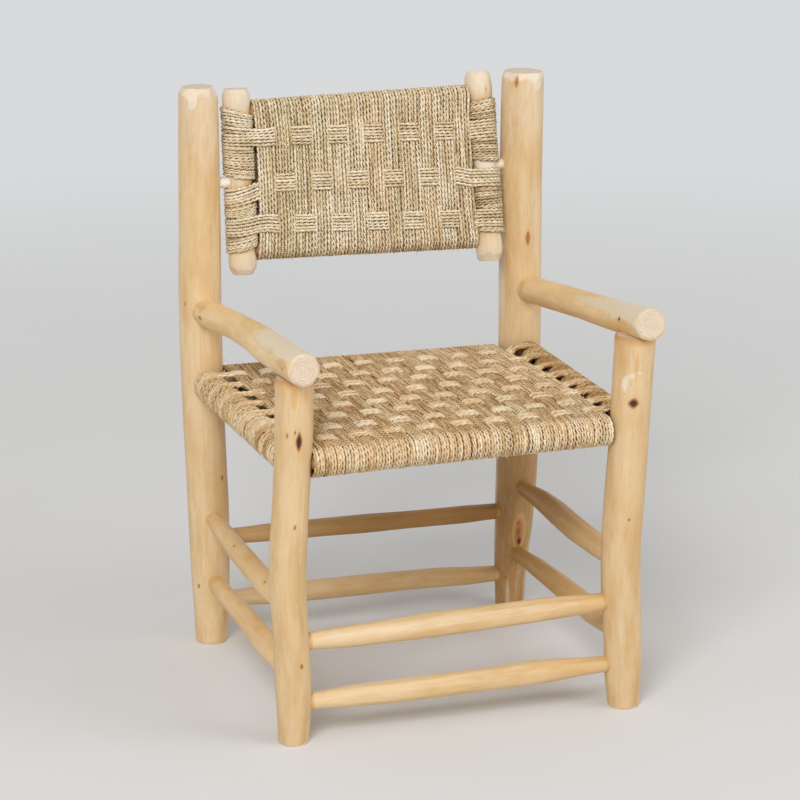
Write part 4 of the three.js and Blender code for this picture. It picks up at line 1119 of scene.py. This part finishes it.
def back_warp_path(group, depth=0.0, across=0.0):
    """Six turns of rope over both rails, lying a depth further in and a share of a strand across."""
    arc = half_turn(18)
    out = BACK_OUT - depth
    path = []
    for strand in range(STRANDS):
        x = strand_place(back_left, back_pitch, group, strand + across) + rng.normal(0, 0.25)
        ends = lerp(*BACK_BOTTOM, back_share(x)), lerp(*BACK_TOP, back_share(x))
        middles = [band_height(band, x) for band in range(len(BACK_BANDS))]
        for end, (face, s, moved) in enumerate(runs(-1, 90)):
            z = lerp(*ends, s)
            lift = warp_lift(z, middles, group, **BACK_WARP)
            off_middle = x + moved * back_pitch / STRANDS - back_middle
            flared = back_middle + off_middle * (1 + FLARE * (2 * s - 1) ** 4)
            path.append(np.stack([flared, face * (out + lift), z], -1))
            if end < 2:
                centre = np.array([back_middle + (x - back_middle) * (1 + FLARE), 0.0, ends[end]])
                path.append(bend(centre, end, out, arc, Z_AXIS, -Y_AXIS))
    return leaned(np.concatenate(path))


def back_weft_path(band):
    arc = half_turn(24)
    path = []
    for strand in range(BACK_BAND_STRANDS):
        offset = ((BACK_BAND_STRANDS - 1) / 2 - strand) * BACK_BAND_PITCH + rng.normal(0, 0.2)
        at_stile = [height + offset for height in band_at_stile[band]]
        for end, (face, t, moved) in enumerate(runs(-1, 320)):
            x = lerp(*stile_x, t)
            z = band_height(band, x) + offset - moved * BACK_BAND_PITCH
            index = (x - back_left) / back_pitch
            for side, reach in ((0, 1 - index), (1, index - BACK_GROUPS + 1)):
                z = lerp(z, slanted(side, at_stile[side], x), smooth_step(reach / 0.95))
            lift, beyond = weft_lift(index, BACK_GROUPS, back_pitch, band, **BACK_WEFT)
            out = lerp(BACK_OUT + lift, STILE_OUT, smooth_step(beyond / 22.0))
            path.append(np.stack([x, face * out, z], -1))
            if end < 2:
                turn = bend(stile_x[end] * X_AXIS, end, STILE_OUT, arc, X_AXIS, -Y_AXIS)
                turn[:, 2] = slanted(end, at_stile[end], turn[:, 0])
                path.append(turn)
    return leaned(np.concatenate(path))


def stile_wrap_paths(side):
    """Turns of rope round a stile, open at the peg and where the weft bands go round."""
    taken = [(heights[side] - half_band, heights[side] + half_band) for heights in band_at_stile]
    taken.append((-PEG_GAP, PEG_GAP))
    paths = []
    for angle, height in wound(free_stretches(*WRAP[side], taken), **BACK_WRAP):
        radius = STILE_OUT + 0.4 * np.sin(angle * 0.43 + rng.uniform(0, 6))
        x = stile_x[side] + radius * np.cos(angle + np.pi / 2)
        z = slanted(side, height, x) + 0.5 * np.sin(angle + rng.uniform(0, 6)) + 0.4 * np.sin(angle * 0.31)
        paths.append(leaned(np.stack([x, radius * np.sin(angle + np.pi / 2), z], -1)))
    return paths


BACK_TONES = (0.46, 0.44, 0.5, 0.62, 0.66, 0.73, 0.58, 0.5, 0.5, 0.56, 0.68, 0.54)
BACK_TINTS = (0.3, 0.6, 0.5, 0.4, -0.1, 0.1, -0.5, 0.4, -0.1, -0.4, 0.2, -0.2)
INNER_DEPTH, INNER_ACROSS = 3.4, 0.5
back_groups = [rope_rings(back_warp_path(group), X_AXIS, rng, BACK_TONES[group], BACK_TINTS[group])
               for group in range(BACK_GROUPS)]
rope_pieces("back_warp_rope", back_groups, 2, "back_panel", ["back_warp"])
# A darker layer of turns just inside the back: painted shade seen through the gaps between the turns
inner_turns = [rope_rings(back_warp_path(group, INNER_DEPTH, INNER_ACROSS), X_AXIS, rng, 0.1, 0.0,
                          radius=2.5, step=6.0, sides=6) for group in range(BACK_GROUPS)]
rope_piece("back_inner_rope", inner_turns, "back_panel")
back_bands = [rope_rings(back_weft_path(band), -Z_AXIS, rng, rng.normal(0.68, 0.04), rng.uniform(-0.2, 0.4),
                         relief=0.3) for band in range(len(BACK_BANDS))]
rope_piece("back_weft_rope", back_bands, "back_panel")
for k, (side, tone, seam, mixed) in enumerate((("left", 0.66, 0.25, 0.15), ("right", 0.42, 0.6, 0.25))):
    wraps = [rope_rings(path, -Z_AXIS, rng, rng.normal(tone, 0.06), rng.uniform(-0.2, 0.5),
                        seam=seam, mixed=mixed)
             for path in stile_wrap_paths(k)]
    rope_piece(f"back_{side}_wrap_rope", wraps, "back_panel", [f"back_weft_{side}"])


# Loose fibres

FIBRE_RINGS, FIBRE_SIDES, FIBRE_RADIUS = 5, 3, 0.38
FIBRE_CORNERS = (0.0, 2.1, 4.2)
FIBRE_TONE, FIBRE_TINT = 0.75, 0.1


def loose_fibres(name, body, count, seed):
    """Short ends of grass that stand out from the ropes of a body."""
    rng = np.random.default_rng(seed)
    ropes = fibre_sources[body]
    sizes = np.array([len(rope["places"]) for rope in ropes], dtype=float)
    t = np.linspace(0, 1, FIBRE_RINGS)[:, None]
    points, lay, faces, start = [], [], [], 0
    for pick in rng.choice(len(ropes), count, p=sizes / sizes.sum()):
        rope = ropes[pick]
        i = rng.integers(2, len(rope["places"]) - 2)
        tilt = rng.uniform(-1.2, 1.2)
        away = rope["out"][i] * math.cos(tilt) + rope["across"][i] * math.sin(tilt)
        along = rope["along"][i] * rng.choice([-1, 1])
        length = rng.uniform(3.0, 11.0) if rng.random() < 0.9 else rng.uniform(12.0, 24.0)
        rise, lean = rng.uniform(0.25, 0.7), rng.normal(0, 0.5, 3)
        line = rope["places"][i] + away * ROPE_RADIUS * 0.7
        line = line + length * t * (along * (1 - 0.4 * t) + away * rise)
        line = line + lean * length * 0.35 * t ** 2 - Z_AXIS * length * 0.12 * t ** 2
        across = unit(np.cross(along, away + 1e-3))
        thick = FIBRE_RADIUS * (1 - 0.75 * t)
        corners = [line + thick * (math.cos(a) * across + math.sin(a) * away) for a in FIBRE_CORNERS]
        points.append(np.stack(corners, axis=1).reshape(-1, 3))
        place = np.hstack([t * length + pick * 31, 0 * t + i * 0.7, 0 * t])
        lay.append(np.repeat(place, FIBRE_SIDES, axis=0))
        faces += tube_faces(FIBRE_RINGS, FIBRE_SIDES, start).tolist()
        faces.append([start, start + 2, start + 1])
        start += FIBRE_RINGS * FIBRE_SIDES
        faces.append([start - 3, start - 2, start - 1])
    even = np.ones(start)
    new_piece(name, np.concatenate(points), faces, body, [], *ROPE_LOOKS[body], lay=np.concatenate(lay) * MM,
              tone=FIBRE_TONE * even, tint=FIBRE_TINT * even, groove=0 * even)


loose_fibres("seat_loose_fibres", "frame", 5000, 71)
loose_fibres("back_loose_fibres", "back_panel", 2400, 72)


# Floor, light and camera

PALE_DISTANCE = (0.69, 0.7, 0.71, 1)
FLOOR_COLOURS = (0.755, 0.765, 0.78, 1), (0.795, 0.805, 0.82, 1)
FLOOR_REACH = 40
scene = bpy.context.scene


def seen_directly(nodes):
    """1 for rays from the camera and for those that it sees mirrored or through something clear."""
    rays = nodes.add("LightPath").outputs
    indirect = nodes.maths("MAXIMUM", rays["Is Glossy Ray"], rays["Is Transmission Ray"])
    return nodes.maths("MAXIMUM", rays["Is Camera Ray"], indirect)


def mix_distance(nodes, factor, shader, kind, output):
    """Show the pale distance in place of a shader, by a factor."""
    distance = nodes.add(kind, {"Color": PALE_DISTANCE, "Strength": 1.0}).outputs[kind]
    mixed = nodes.add("MixShader", {0: factor, 1: shader, 2: distance}).outputs["Shader"]
    nodes.plug(nodes.tree.nodes[output].inputs["Surface"], mixed)


floor_material = bpy.data.materials.new("pale_floor")
nodes = Nodes(floor_material)
place = nodes.object_place()
shader = nodes.tree.nodes["Principled BSDF"]
nodes.plug(shader.inputs["Base Color"], nodes.blended(nodes.noise(place, 3.0, 4.0), *FLOOR_COLOURS))
shader.inputs["Roughness"].default_value = 0.9
# Away from the chair the camera sees the floor's own pale colour, without the lamps' fall-off
far_off = nodes.maths("MULTIPLY", nodes.ranged(nodes.length(place), 1.2, 4.5), seen_directly(nodes))
mix_distance(nodes, far_off, shader.outputs["BSDF"], "Emission", "Material Output")
floor_mesh = bpy.data.meshes.new("floor")
corners = [(x * FLOOR_REACH, y * FLOOR_REACH, 0) for x, y in ((-1, -1), (1, -1), (1, 1), (-1, 1))]
floor_mesh.from_pydata(corners, [], [(0, 1, 2, 3)])
floor_mesh.materials.append(floor_material)
floor = bpy.data.objects.new("floor", floor_mesh)
scene.collection.objects.link(floor)


def area_light(name, place, target, size, watts, colour):
    light = bpy.data.lights.new(name, "AREA")
    light.shape, light.size, light.energy, light.color = "DISK", size, watts, colour
    lamp = bpy.data.objects.new(name, light)
    lamp.location = place
    x, y, z = np.array(target) - np.array(place)
    lamp.rotation_euler = (math.atan2(math.hypot(x, y), -z), 0, math.atan2(-x, y))
    scene.collection.objects.link(lamp)


area_light("key", (-4.4, -6.6, 6.2), (0, 0, 0.5), 4.4, 495, (1.0, 0.985, 0.96))
area_light("fill", (5.8, -4.8, 4.4), (0, 0, 0.5), 5.2, 182, (1.0, 0.99, 0.97))

scene.world = bpy.data.worlds.new("studio")
nodes = Nodes(scene.world)
sky = nodes.tree.nodes["Background"]
sky.inputs["Color"].default_value = (1.0, 0.975, 0.94, 1)
sky.inputs["Strength"].default_value = 0.48
mix_distance(nodes, seen_directly(nodes), sky.outputs["Background"], "Background", "World Output")

camera = bpy.data.cameras.new("camera")
camera.lens, camera.sensor_width, camera.clip_end = LENS, SENSOR, 200.0
eye = bpy.data.objects.new("camera", camera)
eye.location = (camera_place * MM).tolist()
eye.rotation_euler = CAMERA_TURN
scene.collection.objects.link(eye)
scene.camera = eye
scene.view_settings.view_transform = "Standard"

bpy.context.view_layer.update()
